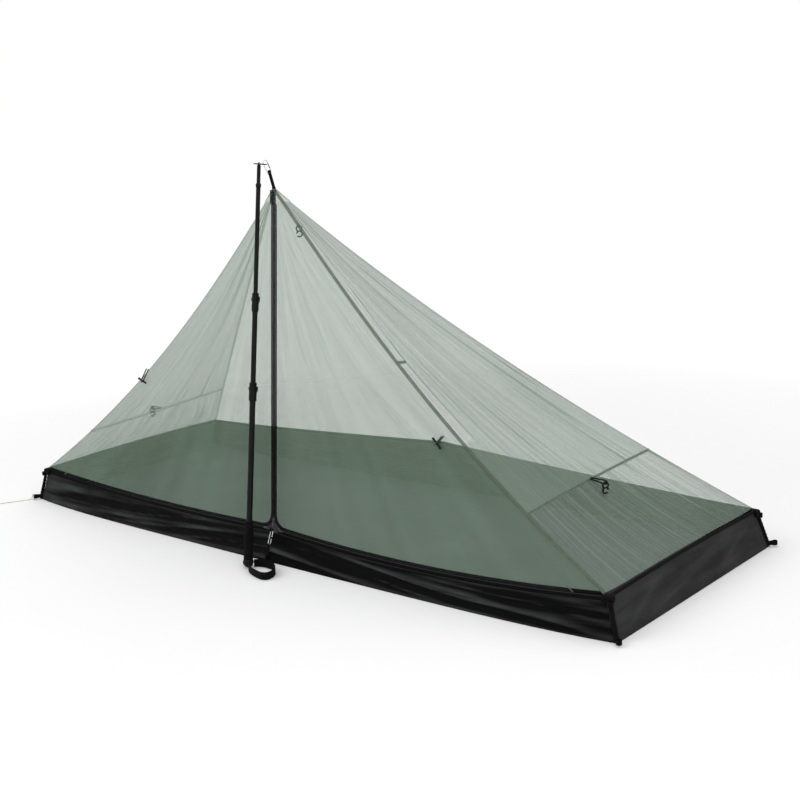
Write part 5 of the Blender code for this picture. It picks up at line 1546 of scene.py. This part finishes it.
def addSlider(word, spot, across, out, hang):
    alongZip = across.cross(out)
    room = zips["coil"] + sliders["play"]
    wide, long = sliders["width"] / 2, sliders["length"] / 2
    # the plate is shouldered: broad where the coils part, narrow where they meet
    neck = wide * sliders["shoulder"]
    shield = [(-wide, long), (-wide, 0), (-neck, -long), (neck, -long), (wide, 0), (wide, long)]
    shield = softened(shield, sliders["round"], closed=True)
    meshes = []
    for face in (1, -1):
        middle = spot + out * (face * (room + sliders["plate"] / 2))
        placing = axes(middle, across, alongZip)
        meshes.append(plateMesh("plate", [shield], sliders["plate"], placing, sliders["edgeRound"]))
    size = (sliders["post"], 2 * room + sliders["plate"], sliders["length"] - sliders["plate"])
    meshes.append(blockMesh("post", size, axes(spot, across, out), sliders["fineRound"]))
    hinge = spot + out * (sliderFace + sliders["bail"] - sliders["bailSunk"])
    rings = [circle((0, 0), sliders["bail"]), circle((0, 0), sliders["bailBore"])]
    placing = axes(hinge, out, alongZip)
    meshes.append(plateMesh("bail", rings, sliders["bailWidth"], placing, sliders["fineRound"]))
    slider = joined(f"slider{word}", meshes)
    node = word.lower()
    addPiece(f"slider{word}", slider, darkMetal, f"slider_{node}", (f"zip_slider_{node}",))
    r = sliders["pullWidth"] / 2
    bar = sliders["pullBar"] / 2
    tip = arc((sliders["pullLength"] - r, 0), r, -math.pi / 2, math.pi / 2, 14)
    tab = [(-bar, -r)] + tip + [(-bar, r)]
    deep, broad = sliders["window"]
    window = [(bar, -broad / 2), (bar + deep, -broad / 2), (bar + deep, broad / 2), (bar, broad / 2)]
    placing = axes(hinge, hang, across)
    pull = plateMesh(f"pull{word}", [tab, window], sliders["pullThick"], placing, sliders["edgeRound"])
    addPiece(f"pull{word}", pull, darkMetal, f"pull_{node}", (f"zip_pull_{node}",))


addSlider("Center", zipLine(zipFoot.z + zips["park"]), Vector((-1, 0, 0)), zipOut, -zipUp)
for side, word in ((-1, "Left"), (1, "Right")):
    centre, radius, half, chord, rise = arcFrame(side)
    spot = zipArc(side, zips["park"] / zipSpan)
    across = (centre - spot).normalized()
    face = across.cross(chord).normalized() * side
    tangent = across.cross(face) * side
    addSlider(word, spot, across, -face, tangent if tangent.x * side > 0 else -tangent)
print("stage: sliders")


# Apex patch with the closed head of the upright zip
def addPatch():
    shape = bmesh.new()
    bmesh.ops.create_cone(shape, cap_ends=True, segments=4, radius1=1, radius2=0.5, depth=1)
    bmesh.ops.rotate(shape, verts=shape.verts, matrix=Matrix.Rotation(math.pi / 4, 3, "Z"))
    for corner in shape.verts:
        side = 1 if corner.co.x > 0 else -1
        depth = 1 if corner.co.y > 0 else -1
        if corner.co.z < 0:
            spot = ridge(side, depth, ridgeShare(patchBase)) + Vector((side, depth, 0)) * patchValues["lap"]
            spot.z = patchBase
        else:
            spot = apex + Vector((side, depth, 0)) * patchValues["top"] / 2
        corner.co = spot
    roundEdges(shape, patchValues["round"], 4)
    addPiece("apexPatch", finished(shape, "apexPatch", 60), netFront, "root", ("apex_patch",))
    low = foldPoint(1, doorTopShare).z + patchValues["headGap"]
    high = apex.z - patchValues["headTop"]
    coils, tapes = [], []
    for side in (-1, 1):
        route = []
        for s in steps(60):  # the head runs on over the front of the patch
            height = low + (high - low) * s
            lift = min(1, max(0, (height - patchBase) / patchValues["headEase"] + 1))
            spot = zipLine(height) + zipOut * (patchValues["headLift"] * lift * lift * (3 - 2 * lift))
            route.append(spot + Vector((side * coilInset, 0, 0)))
        coils.append(coilMesh("head", route))
        shift = Vector((side * tapeReach / 2, 0, 0))
        section = roundBar(tapeReach, zips["tape"], 3)
        tapes.append(sweptMesh("headTape", [p + shift for p in route], section, right))
    addPiece("zipHead", joined("zipHead", coils), zipCoil, "root")
    addPiece("zipHeadTape", joined("zipHeadTape", tapes), zipTape, "root")


addPatch()
tack = blockMesh("apexTack", patchValues["tack"], Matrix.Translation(apex), patchValues["tackRound"])
addPiece("apexTack", tack, webbing, "root")

# Pole's line and the tether that joins its tip to the apex
pole = {
    "shift": 0.008,
    "standoff": 0.0942,
    "lead": 0.0397,
    "rise": 0.0728,
    "cap": 0.0150,
    "capLength": 0.022,
    "grip": 0.0130,
    "gripWaist": 0.0121,
    "gripNeck": 0.0112,
    "gripLength": 0.127,
    "gripRound": 0.0005,
    "grooves": 11,
    "grooveDepth": 0.0010,
    "grooveMargin": 0.004,
    "neckLength": 0.014,
    "lower": 0.0080,
    "middle": 0.0070,
    "tip": 0.0060,
    "play": 0.0003,
    "wall": 0.0007,
    "lowerTop": 0.507,
    "upperTop": 0.748,
    "middleHidden": 0.300,
    "tipHidden": 0.160,
    "clamp": 0.050,
    "clampWall": 0.0022,
    "clampLip": 0.004,
    "clampRound": 0.0003,
    "earRound": 0.0005,
    "leverRound": 0.0004,
    "leverDrop": 0.017,
    "leverHeight": 0.009,
    "leverStandoff": 0.0006,
    "leverThick": 0.0026,
    "leverEye": 0.0021,
    "leverWrap": math.radians(196),
    "eyeStart": math.radians(112),
    "eyeStop": math.radians(410),
    "rootShares": (1.1, 1.375),
    "earHeight": 0.016,
    "earWidth": 0.0060,
    "pin": 0.0010,
    "ferrule": 0.0050,
    "ferruleLength": 0.0605,
    "ferruleRound": 0.0004,
    "collar": 0.0072,
    "collarLength": 0.010,
    "point": 0.0022,
    "pointLength": 0.0072,
}
poleFoot = Vector((-pole["shift"], -tent["width"] / 2 - pole["standoff"], pole["cap"] + tent["touch"]))
poleTop = apex + Vector((-pole["shift"], -pole["lead"], pole["rise"]))
poleAxis = (poleTop - poleFoot).normalized()
poleLength = (poleTop - poleFoot).length + pole["cap"]
shoulder = poleLength - pole["pointLength"]
tetherSide = (apex - poleFoot - poleAxis * (apex - poleFoot).dot(poleAxis)).normalized()
poleFrame = axes(poleFoot - poleAxis * pole["cap"], right, poleAxis.cross(right))


def polePoint(height):
    return poleFoot + poleAxis * (height - pole["cap"])


tether = {
    "tabLength": 0.040,
    "tabWidth": 0.020,
    "tabThick": 0.0020,
    "bore": 0.0030,
    "barrel": 0.0009,
    "flange": 0.0068,
    "flangeThick": 0.0004,
    "setback": 0.016,
    "tabEnd": 0.0066,
    "hole": 0.0026,
    "clipLength": 0.038,
    "clipWidth": 0.0132,
    "wire": 0.0012,
    "clipFoot": 0.0028,
    "clipOffset": 0.0002,
    "gate": 0.015,
    "gateShift": 0.005,
    "webbing": 0.0012,
    "webbingWidth": 0.0072,
    "tabEdge": 0.0004,
    "ringEdge": 0.00018,
}


def stadium(length, width, shift=0.0):
    r = width / 2
    near = arc((shift + r, 0), r, math.pi / 2, 3 * math.pi / 2, 16)
    return near + arc((shift + length - r, 0), r, -math.pi / 2, math.pi / 2, 16)


def addTether():
    t = tether
    level = shoulder + 2 * tent["touch"] + t["flangeThick"] + t["tabThick"] / 2
    spot = polePoint(level)
    hole = spot + tetherSide * (t["tabLength"] - t["setback"] - t["tabEnd"] - t["hole"])
    placing = axes(spot, tetherSide, poleAxis.cross(tetherSide))
    loops = [
        stadium(t["tabLength"], t["tabWidth"], -t["setback"]),
        circle((0, 0), t["bore"] + t["barrel"] + tent["touch"], 32),
        circle(((hole - spot).length, 0), t["hole"], 24),
    ]
    tab = plateMesh("eyeletTab", loops, t["tabThick"], placing, t["tabEdge"])
    addPiece("eyeletTab", tab, webbing, "root", ("eyelet_tab",))
    half = t["tabThick"] / 2 + tent["touch"]
    rim = half + t["flangeThick"]
    barrel = t["bore"] + t["barrel"]
    profile = [
        (t["bore"], rim), (t["flange"], rim), (t["flange"], half), (barrel, half),
        (barrel, -half), (t["flange"], -half), (t["flange"], -rim), (t["bore"], -rim),
    ]
    ring = spunMesh("eyeletRing", softened(profile, t["ringEdge"], True), placing, True)
    addPiece("eyeletRing", ring, brightMetal, "root", ("eyelet_ring",))
    line = (hole - apex).normalized()
    wide = (tetherSide - line * tetherSide.dot(line)).normalized()
    arm = t["clipWidth"] / 2
    top = hole + line * (arm + t["wire"] + t["tabThick"] / 2)
    clip = axes(top + wide * (arm + t["clipOffset"]), -line, wide)
    q = t["clipFoot"]
    far = t["clipLength"] - q
    gateLow = t["gateShift"] + arm
    gateHigh = gateLow + t["gate"]
    head = arc((arm, 0), arm, math.pi / 2, 3 * math.pi / 2, 24)
    foot = arc((far, q - arm), q, -math.pi / 2, 0, 8) + arc((far, arm - q), q, 0, math.pi / 2, 8)
    flat = [(gateLow, arm)] + head + foot + [(gateHigh, arm)]
    path = [clip @ Vector((x, y, 0)) for x, y in flat]
    mesh = tubeMesh("clipBody", path, t["wire"], clip.col[2].xyz, 16)
    addPiece("clipBody", mesh, brightMetal, "root", ("carabiner",))
    nose = clip @ Vector((gateLow + tent["touch"], arm, 0))
    hinge = clip @ Vector((gateHigh - tent["touch"], arm, 0))
    path = [nose.lerp(hinge, s) for s in steps(12)]
    mesh = tubeMesh("clipGate", path, t["wire"], clip.col[2].xyz, 16)
    addPiece("clipGate", mesh, blackPlastic, "gate", ("carabiner_gate",))
    start = apex + up * tent["touch"]
    run = clip @ Vector((t["clipLength"] - 2 * t["wire"], 0, 0)) - start
    reach = run.length + 3 * t["wire"] + tent["touch"] + t["webbing"]
    placing = axes(start + up * t["webbing"], run, run.cross(wide))
    inside = 2 * (t["wire"] + tent["touch"])
    addLoop("apexLoop", placing, reach, inside, t["webbing"], t["webbingWidth"], "apex_webbing")


def addLoop(name, placing, reach, inside, thick, wide, node):  # webbing doubled round a wire
    outer = stadium(reach, inside + 2 * thick)
    inner = stadium(reach - 2 * thick, inside, thick)
    path = [placing @ Vector(((a[0] + b[0]) / 2, (a[1] + b[1]) / 2, 0)) for a, b in zip(outer, inner)]
    mesh = sweptMesh(name, path, roundBar(wide, thick, 3), placing.col[2].xyz, closed=True)
    addPiece(name, mesh, webbing, "root", (node,))


addTether()
print("stage: apex and tether")


# Trekking pole, upside down: grip on the ground and tip in the eyelet
def addTurned(name, profile, material, body, node, closed=True):
    addPiece(name, spunMesh(name, profile, poleFrame, closed), material, body, (node,))


def gripProfile():
    p = pole
    bore = p["lower"] + tent["touch"]
    foot = p["capLength"] + tent["touch"]
    neck = p["gripLength"] - p["neckLength"]
    profile = [(bore, foot), (p["grip"] - 0.0006, foot), (p["grip"], foot + 0.0008)]
    run = neck - foot - 2 * p["grooveMargin"]
    pitch = run / p["grooves"]
    for k in range(p["grooves"]):  # shallow grooves round the foam
        low = foot + p["grooveMargin"] + run * k / p["grooves"]
        share = (low - foot) / (neck - foot)
        r = p["gripWaist"] + (p["grip"] - p["gripWaist"]) * (0.5 + 0.5 * math.cos(share * 9.5))
        deep = r - p["grooveDepth"]
        profile += [(r, low), (r, low + pitch * 0.70), (deep, low + pitch * 0.80), (deep, low + pitch * 0.90)]
    profile += [(p["gripWaist"], neck), (p["gripNeck"], neck + p["neckLength"] / 6)]
    return profile + [(p["gripNeck"], p["gripLength"]), (bore, p["gripLength"])]


def addPole():
    p = pole
    touch = tent["touch"]
    turns = [math.pi / 2 * i / 12 for i in range(1, 12)]
    dome = [(p["cap"] * math.cos(a), p["cap"] * (1 - math.sin(a))) for a in turns]
    profile = [(0, p["capLength"]), (p["grip"], p["capLength"]), (p["cap"], p["cap"])] + dome + [(0, 0)]
    addTurned("gripCap", profile, blackPlastic, "root", "pole_grip_cap", False)
    profile = softened(gripProfile(), p["gripRound"], True)
    addTurned("grip", profile, gripFoam, "root", "pole_grip")
    lowerTop, upperTop = (p[key] - p["clampLip"] - touch for key in ("lowerTop", "upperTop"))
    tipTop = shoulder - p["ferruleLength"] - touch
    tubes = [
        ("lowerTube", p["lower"], p["capLength"] + touch, lowerTop, "root"),
        ("middleTube", p["middle"], p["lowerTop"] - p["middleHidden"], upperTop, "pole_middle"),
        ("tipTube", p["tip"], p["upperTop"] - p["tipHidden"], tipTop, "pole_tip"),
    ]
    for name, r, low, high, body in tubes:
        inner = r - p["wall"]
        profile = [(inner, high)] + [(r, high + (low - high) * s) for s in steps(24)] + [(inner, low)]
        node = "pole_" + name.replace("Tube", "") + "_tube"
        addTurned(name, profile, tubeMetal, body, node)
    foot = shoulder - p["ferruleLength"]
    collar = foot + p["collarLength"]
    profile = [
        (0, poleLength), (p["point"] * 0.55, poleLength), (p["point"] * 0.8, poleLength - 0.0006),
        (p["point"], shoulder + p["pointLength"] / 2), (p["point"], shoulder),
        (p["ferrule"] * 0.8, shoulder), (p["ferrule"], shoulder - p["pointLength"] / 2),
        (p["ferrule"], collar + p["collarLength"] * 0.3), (p["collar"], collar),
        (p["collar"], foot + p["collarLength"] / 3), (p["tip"], foot), (0, foot),
    ]
    profile = softened(profile, p["ferruleRound"])
    addTurned("ferrule", profile, blackPlastic, "pole_tip", "pole_ferrule", False)
    addClamp("Lower", p["lowerTop"], p["lower"], p["middle"], "root")
    addClamp("Upper", p["upperTop"], p["middle"], p["tip"], "pole_middle")


def addClamp(word, top, tube, innerTube, body):
    p = pole
    bore = tube + tent["touch"]
    lip = innerTube + p["play"]
    shell = bore + p["clampWall"]
    low = top - p["clamp"]
    band = top - p["leverDrop"]
    profile = [
        (lip, top), (shell - 0.0006, top), (shell, top - 0.0008), (shell, top - 0.0045),
        (shell - 0.0005, top - 0.0052), (shell - 0.0005, band - p["leverHeight"]),
        (shell, band - p["leverHeight"] - 0.0008),
        (shell, low + p["clampWall"]), (bore + p["clampWall"] / 2, low), (bore, low),
        (bore, top - p["clampLip"]), (lip, top - p["clampLip"]),
    ]
    sleeve = spunMesh("sleeve", softened(profile, p["clampRound"], True), Matrix.Identity(4), True)
    pivot = shell + p["leverStandoff"] + p["play"] + p["leverEye"]
    reach = pivot + p["pin"] * 2 - bore - p["clampWall"] / 2
    middle = bore + p["clampWall"] / 2 + reach / 2
    thick = (p["earHeight"] - p["leverHeight"] - 2 * p["play"]) / 2
    meshes = [sleeve]
    for way in (-1, 1):
        level = band + way * (p["earHeight"] - thick) / 2
        placing = Matrix.Translation((middle, 0, level))
        meshes.append(blockMesh("ear", (reach, p["earWidth"], thick), placing, p["earRound"]))
    tall = p["earHeight"] / 2
    pin = [(0, tall), (p["pin"], tall), (p["pin"], -tall), (0, -tall)]
    meshes.append(spunMesh("pin", pin, Matrix.Translation((pivot, 0, band)), count=20))
    mesh = joined(f"clamp{word}", meshes)
    mesh.transform(poleFrame)
    addPiece(f"clamp{word}", mesh, blackPlastic, body, (f"pole_{word.lower()}_clamp",))
    inner = shell + p["leverStandoff"]
    eyeAngle = math.asin(p["leverEye"] / pivot)
    loop = arc((pivot, 0), p["leverEye"], p["eyeStart"], p["eyeStop"], 24)
    loop += arc((0, 0), inner + p["leverThick"], eyeAngle * p["rootShares"][0], p["leverWrap"], 40)
    loop += arc((0, 0), inner, p["leverWrap"], eyeAngle * p["rootShares"][1], 40)
    hole = circle((pivot, 0), p["pin"] + p["play"], 20)
    placing = poleFrame @ Matrix.Translation((0, 0, band))
    mesh = plateMesh(f"lever{word}", [loop, hole], p["leverHeight"], placing, p["leverRound"])
    node = word.lower()
    addPiece(f"lever{word}", mesh, blackPlastic, f"lever_{node}", (f"pole_{node}_lever",))


addPole()
print("stage: pole")

strap = {
    "thick": 0.0020,
    "height": 0.022,
    "route": [
        (0.0116, -0.0106),
        (0.0300, -0.0270),
        (0.0540, -0.0395),
        (0.0820, -0.0480),
        (0.1050, -0.0515),
        (0.1180, -0.0440),
        (0.1195, -0.0290),
        (0.1120, -0.0100),
        (0.0940, 0.0090),
        (0.0740, 0.0180),
        (0.0500, 0.0205),
        (0.0280, 0.0175),
        (0.0126, 0.0094),
    ],
}


def addStrap():
    path = []
    for s in steps(120):
        spot = eased(strap["route"], s)
        path.append(Vector((poleFoot.x + spot.x, poleFoot.y + spot.y, tent["touch"] + strap["height"] / 2)))
    mesh = sweptMesh("wristStrap", path, roundBar(strap["height"], strap["thick"], 4), up)
    addPiece("wristStrap", mesh, webbing, "root", ("wrist_strap",))


addStrap()

# Front foot clip: loop at the zip foot, wire hook, and webbing down to the ground edge
clipFoot = {
    "loop": 0.012,
    "hook": 0.036,
    "hookWidth": 0.009,
    "wire": 0.0013,
    "standoff": 0.0028,
    "dropShare": 0.7,
    "webbing": 0.0012,
}


def addFootClip():
    c = clipFoot
    top = zipFoot + zipOut * (sliderFace + tent["touch"])
    low = Vector((0, groundEdge(0) - tent["seamGap"] - c["webbing"] / 2, tent["sheet"] + tent["touch"]))
    line = (top - low).normalized()
    out = Vector((-1, 0, 0)).cross(line)
    if out.y > 0:
        out = -out
    hookTop = top + out * c["standoff"] - line * (c["loop"] * c["dropShare"])
    placing = axes(hookTop, -line, right)
    r = c["hookWidth"] / 2
    far = c["hook"] - r
    gap = c["wire"] * 2
    flat = [(c["hook"] / 2 - gap, r)] + arc((r, 0), r, math.pi / 2, 3 * math.pi / 2, 20)
    flat += arc((far, 0), r, -math.pi / 2, math.pi / 2, 20) + [(c["hook"] / 2 + gap, r)]
    path = [placing @ Vector((x, y, 0)) for x, y in flat]
    mesh = tubeMesh("footHook", path, c["wire"], placing.col[2].xyz, 16)
    addPiece("footHook", mesh, brightMetal, "root", ("foot_hook",))
    room = c["hookWidth"] - 4 * c["wire"]
    run = c["wire"] * 2 + tent["touch"] + c["webbing"]
    lowerEnd = hookTop - line * c["hook"]
    inside = 2 * (c["wire"] + tent["touch"])
    placing = axes(hookTop - line * run, line, out)
    addLoop("footLoop", placing, c["loop"], inside, c["webbing"], room, "foot_loop")
    reach = (lowerEnd - low).dot(line) + run
    placing = axes(lowerEnd + line * run, -line, out)
    addLoop("footStrap", placing, reach, inside, c["webbing"], room, "foot_strap")


addFootClip()

# Corner webbing: a bar-tacked strip up each corner, a loop at its top and a stake loop at its foot
cornerValues = {
    "postTrim": 0.0075,
    "stakeLength": 0.023,
    "topLength": 0.013,
    "topDrop": 0.0135,
    "loopWidth": 0.014,
    "web": 0.0016,
    "loopHeight": 0.012,
    "wrap": math.radians(100),
    "stakeRise": 0.0040,
    "tacks": 9,
    "capSize": (0.029, 0.025, 0.020),
    "capRound": 0.0065,
    "capRise": 0.0035,
    "capInset": 0.004,
    "postShare": 0.80,
    "tackShare": 0.18,
}


def tearPath(placing, length):
    c = cornerValues
    r = c["loopWidth"] / 2 - c["web"] / 2
    middle = length - c["loopWidth"] / 2
    turn = arc((middle, 0), r, c["wrap"], -c["wrap"], 36)
    neck = c["web"] * 0.6
    lead = [(0, neck), (middle * 0.35, neck * 1.3)]
    flat = lead + turn + [(x, -y) for x, y in reversed(lead)]
    return [placing @ Vector((x, y, 0)) for x, y in flat]


def addCorner(side, depth, word):
    c = cornerValues
    foot = cornerFoot(side, depth)
    top = cornerTop(side, depth)
    run = (top - foot).normalized()
    outward = Vector((side, depth, 0)).normalized()
    lean = Vector((run.x, run.y, 0)).length * tent["cornerWeb"]
    low = foot + run * (tent["sheet"] + tent["touch"] + lean) / run.z
    high = top - run * c["postTrim"]
    count = c["tacks"] * 12
    path = [low.lerp(high, s) for s in steps(count)]
    across = up.cross(outward)

    def outline(share):  # thickened at each bar tack
        tack = max(0, math.cos(share * math.tau * c["tacks"])) ** 6
        thick = 2 * tent["cornerWeb"] * (c["postShare"] + c["tackShare"] * tack)
        return roundBar(2 * tent["cornerWeb"], thick, 6)

    meshes = [sweptMesh("post", path, outline, across)]
    level = foot.lerp(top, 1 - c["topDrop"] / tent["cornerHeight"])
    band = roundBar(c["loopHeight"], c["web"], 3)
    meshes.append(sweptMesh("upper", tearPath(axes(level, outward, across), c["topLength"]), band, up))
    ahead = guyAhead if (side, depth) == (-1, -1) else outward
    base = foot + up * (c["stakeRise"] + c["loopHeight"] / 2)
    placing = axes(base, ahead, up.cross(ahead))
    meshes.append(sweptMesh("lower", tearPath(placing, c["stakeLength"]), band, up))
    inset = c["capInset"]
    middle = top - Vector((side * inset, depth * inset, c["capSize"][2] / 2 - c["capRise"]))
    meshes.append(blockMesh("cap", c["capSize"], Matrix.Translation(middle), c["capRound"]))
    node = "corner_webbing_" + ("front" if depth < 0 else "back") + ("_left" if side < 0 else "_right")
    mesh = joined(f"cornerWebbing{word}", meshes)
    addPiece(f"cornerWebbing{word}", mesh, webbing, "root", (node,))


for depth, end in ((-1, "Front"), (1, "Back")):
    for side, word in ((-1, "Left"), (1, "Right")):
        addCorner(side, depth, end + word)
print("stage: straps and corners")


# Floor, lights and white surroundings
studio = {
    "floor": 0.93,
    "floorSize": 9.0,
    "drop": 0.0006,
    "tone": 0.01,
    "fade": (1.35, 2.4),  # the floor melts into the white surroundings between these distances
    "surround": 0.62,
}


def addFloor():
    shape = bmesh.new()
    bmesh.ops.create_grid(shape, x_segments=1, y_segments=1, size=studio["floorSize"] / 2)
    bmesh.ops.translate(shape, vec=(0, 0, -studio["drop"]), verts=shape.verts)
    mesh = finished(shape, "studioFloor")
    material, tree, shader = newMaterial("studioFloor", (studio["floor"],) * 3, 0.95, specular=0.05)
    tone = noise(tree, coordinates(tree, (1, 1, 1)), 1.5)
    low, high = ((studio["floor"] + way * studio["tone"],) * 3 for way in (-1, 1))
    tree.links.new(blendColours(tree, tone, low, high), shader.inputs["Base Color"])
    spot = tree.nodes.new("ShaderNodeTexCoord").outputs["Object"]
    reach = addNode(tree, "ShaderNodeVectorMath", operation="LENGTH")
    tree.links.new(spot, reach.inputs[0])
    near, far = studio["fade"]
    tree.links.new(remap(tree, reach.outputs["Value"], 1, 0, near, far), shader.inputs["Alpha"])
    mesh.materials.append(material)
    floor = bpy.data.objects.new("studioFloor", mesh)
    scene.collection.objects.link(floor)


def addLight(name, place, size, power, target=(0, 0, 0.3)):
    data = bpy.data.lights.new(name, "AREA")
    data.size = size
    data.energy = power
    light = bpy.data.objects.new(name, data)
    scene.collection.objects.link(light)
    aim = (Vector(place) - Vector(target)).to_track_quat("Z", "Y").to_matrix().to_4x4()
    aim.translation = place
    light.matrix_world = aim


def addSurround():
    world = bpy.data.worlds.new("studioAir")
    world.use_nodes = True
    scene.world = world
    tree = world.node_tree
    ambient = tree.nodes["Background"]
    ambient.inputs["Color"].default_value = (1, 1, 1, 1)
    ambient.inputs["Strength"].default_value = studio["surround"]
    backdrop = addNode(tree, "ShaderNodeBackground", Color=(1, 1, 1, 1), Strength=1.0)
    rays = tree.nodes.new("ShaderNodeLightPath")
    seen = combine(tree, "MAXIMUM", rays.outputs["Is Camera Ray"], rays.outputs["Is Glossy Ray"])
    seen = combine(tree, "MAXIMUM", seen, rays.outputs["Is Transmission Ray"])
    mix = tree.nodes.new("ShaderNodeMixShader")
    tree.links.new(seen, mix.inputs[0])
    tree.links.new(ambient.outputs["Background"], mix.inputs[1])
    tree.links.new(backdrop.outputs["Background"], mix.inputs[2])
    tree.links.new(mix.outputs["Shader"], tree.nodes["World Output"].inputs["Surface"])


addFloor()
addSurround()
addLight("keyLight", (-2.4, -3.6, 3.6), 3.2, 75)
addLight("fillLight", (3.6, -2.2, 2.6), 3.0, 38)
addLight("topLight", (0.3, 0.8, 4.2), 4.0, 60)
print("stage: surroundings")
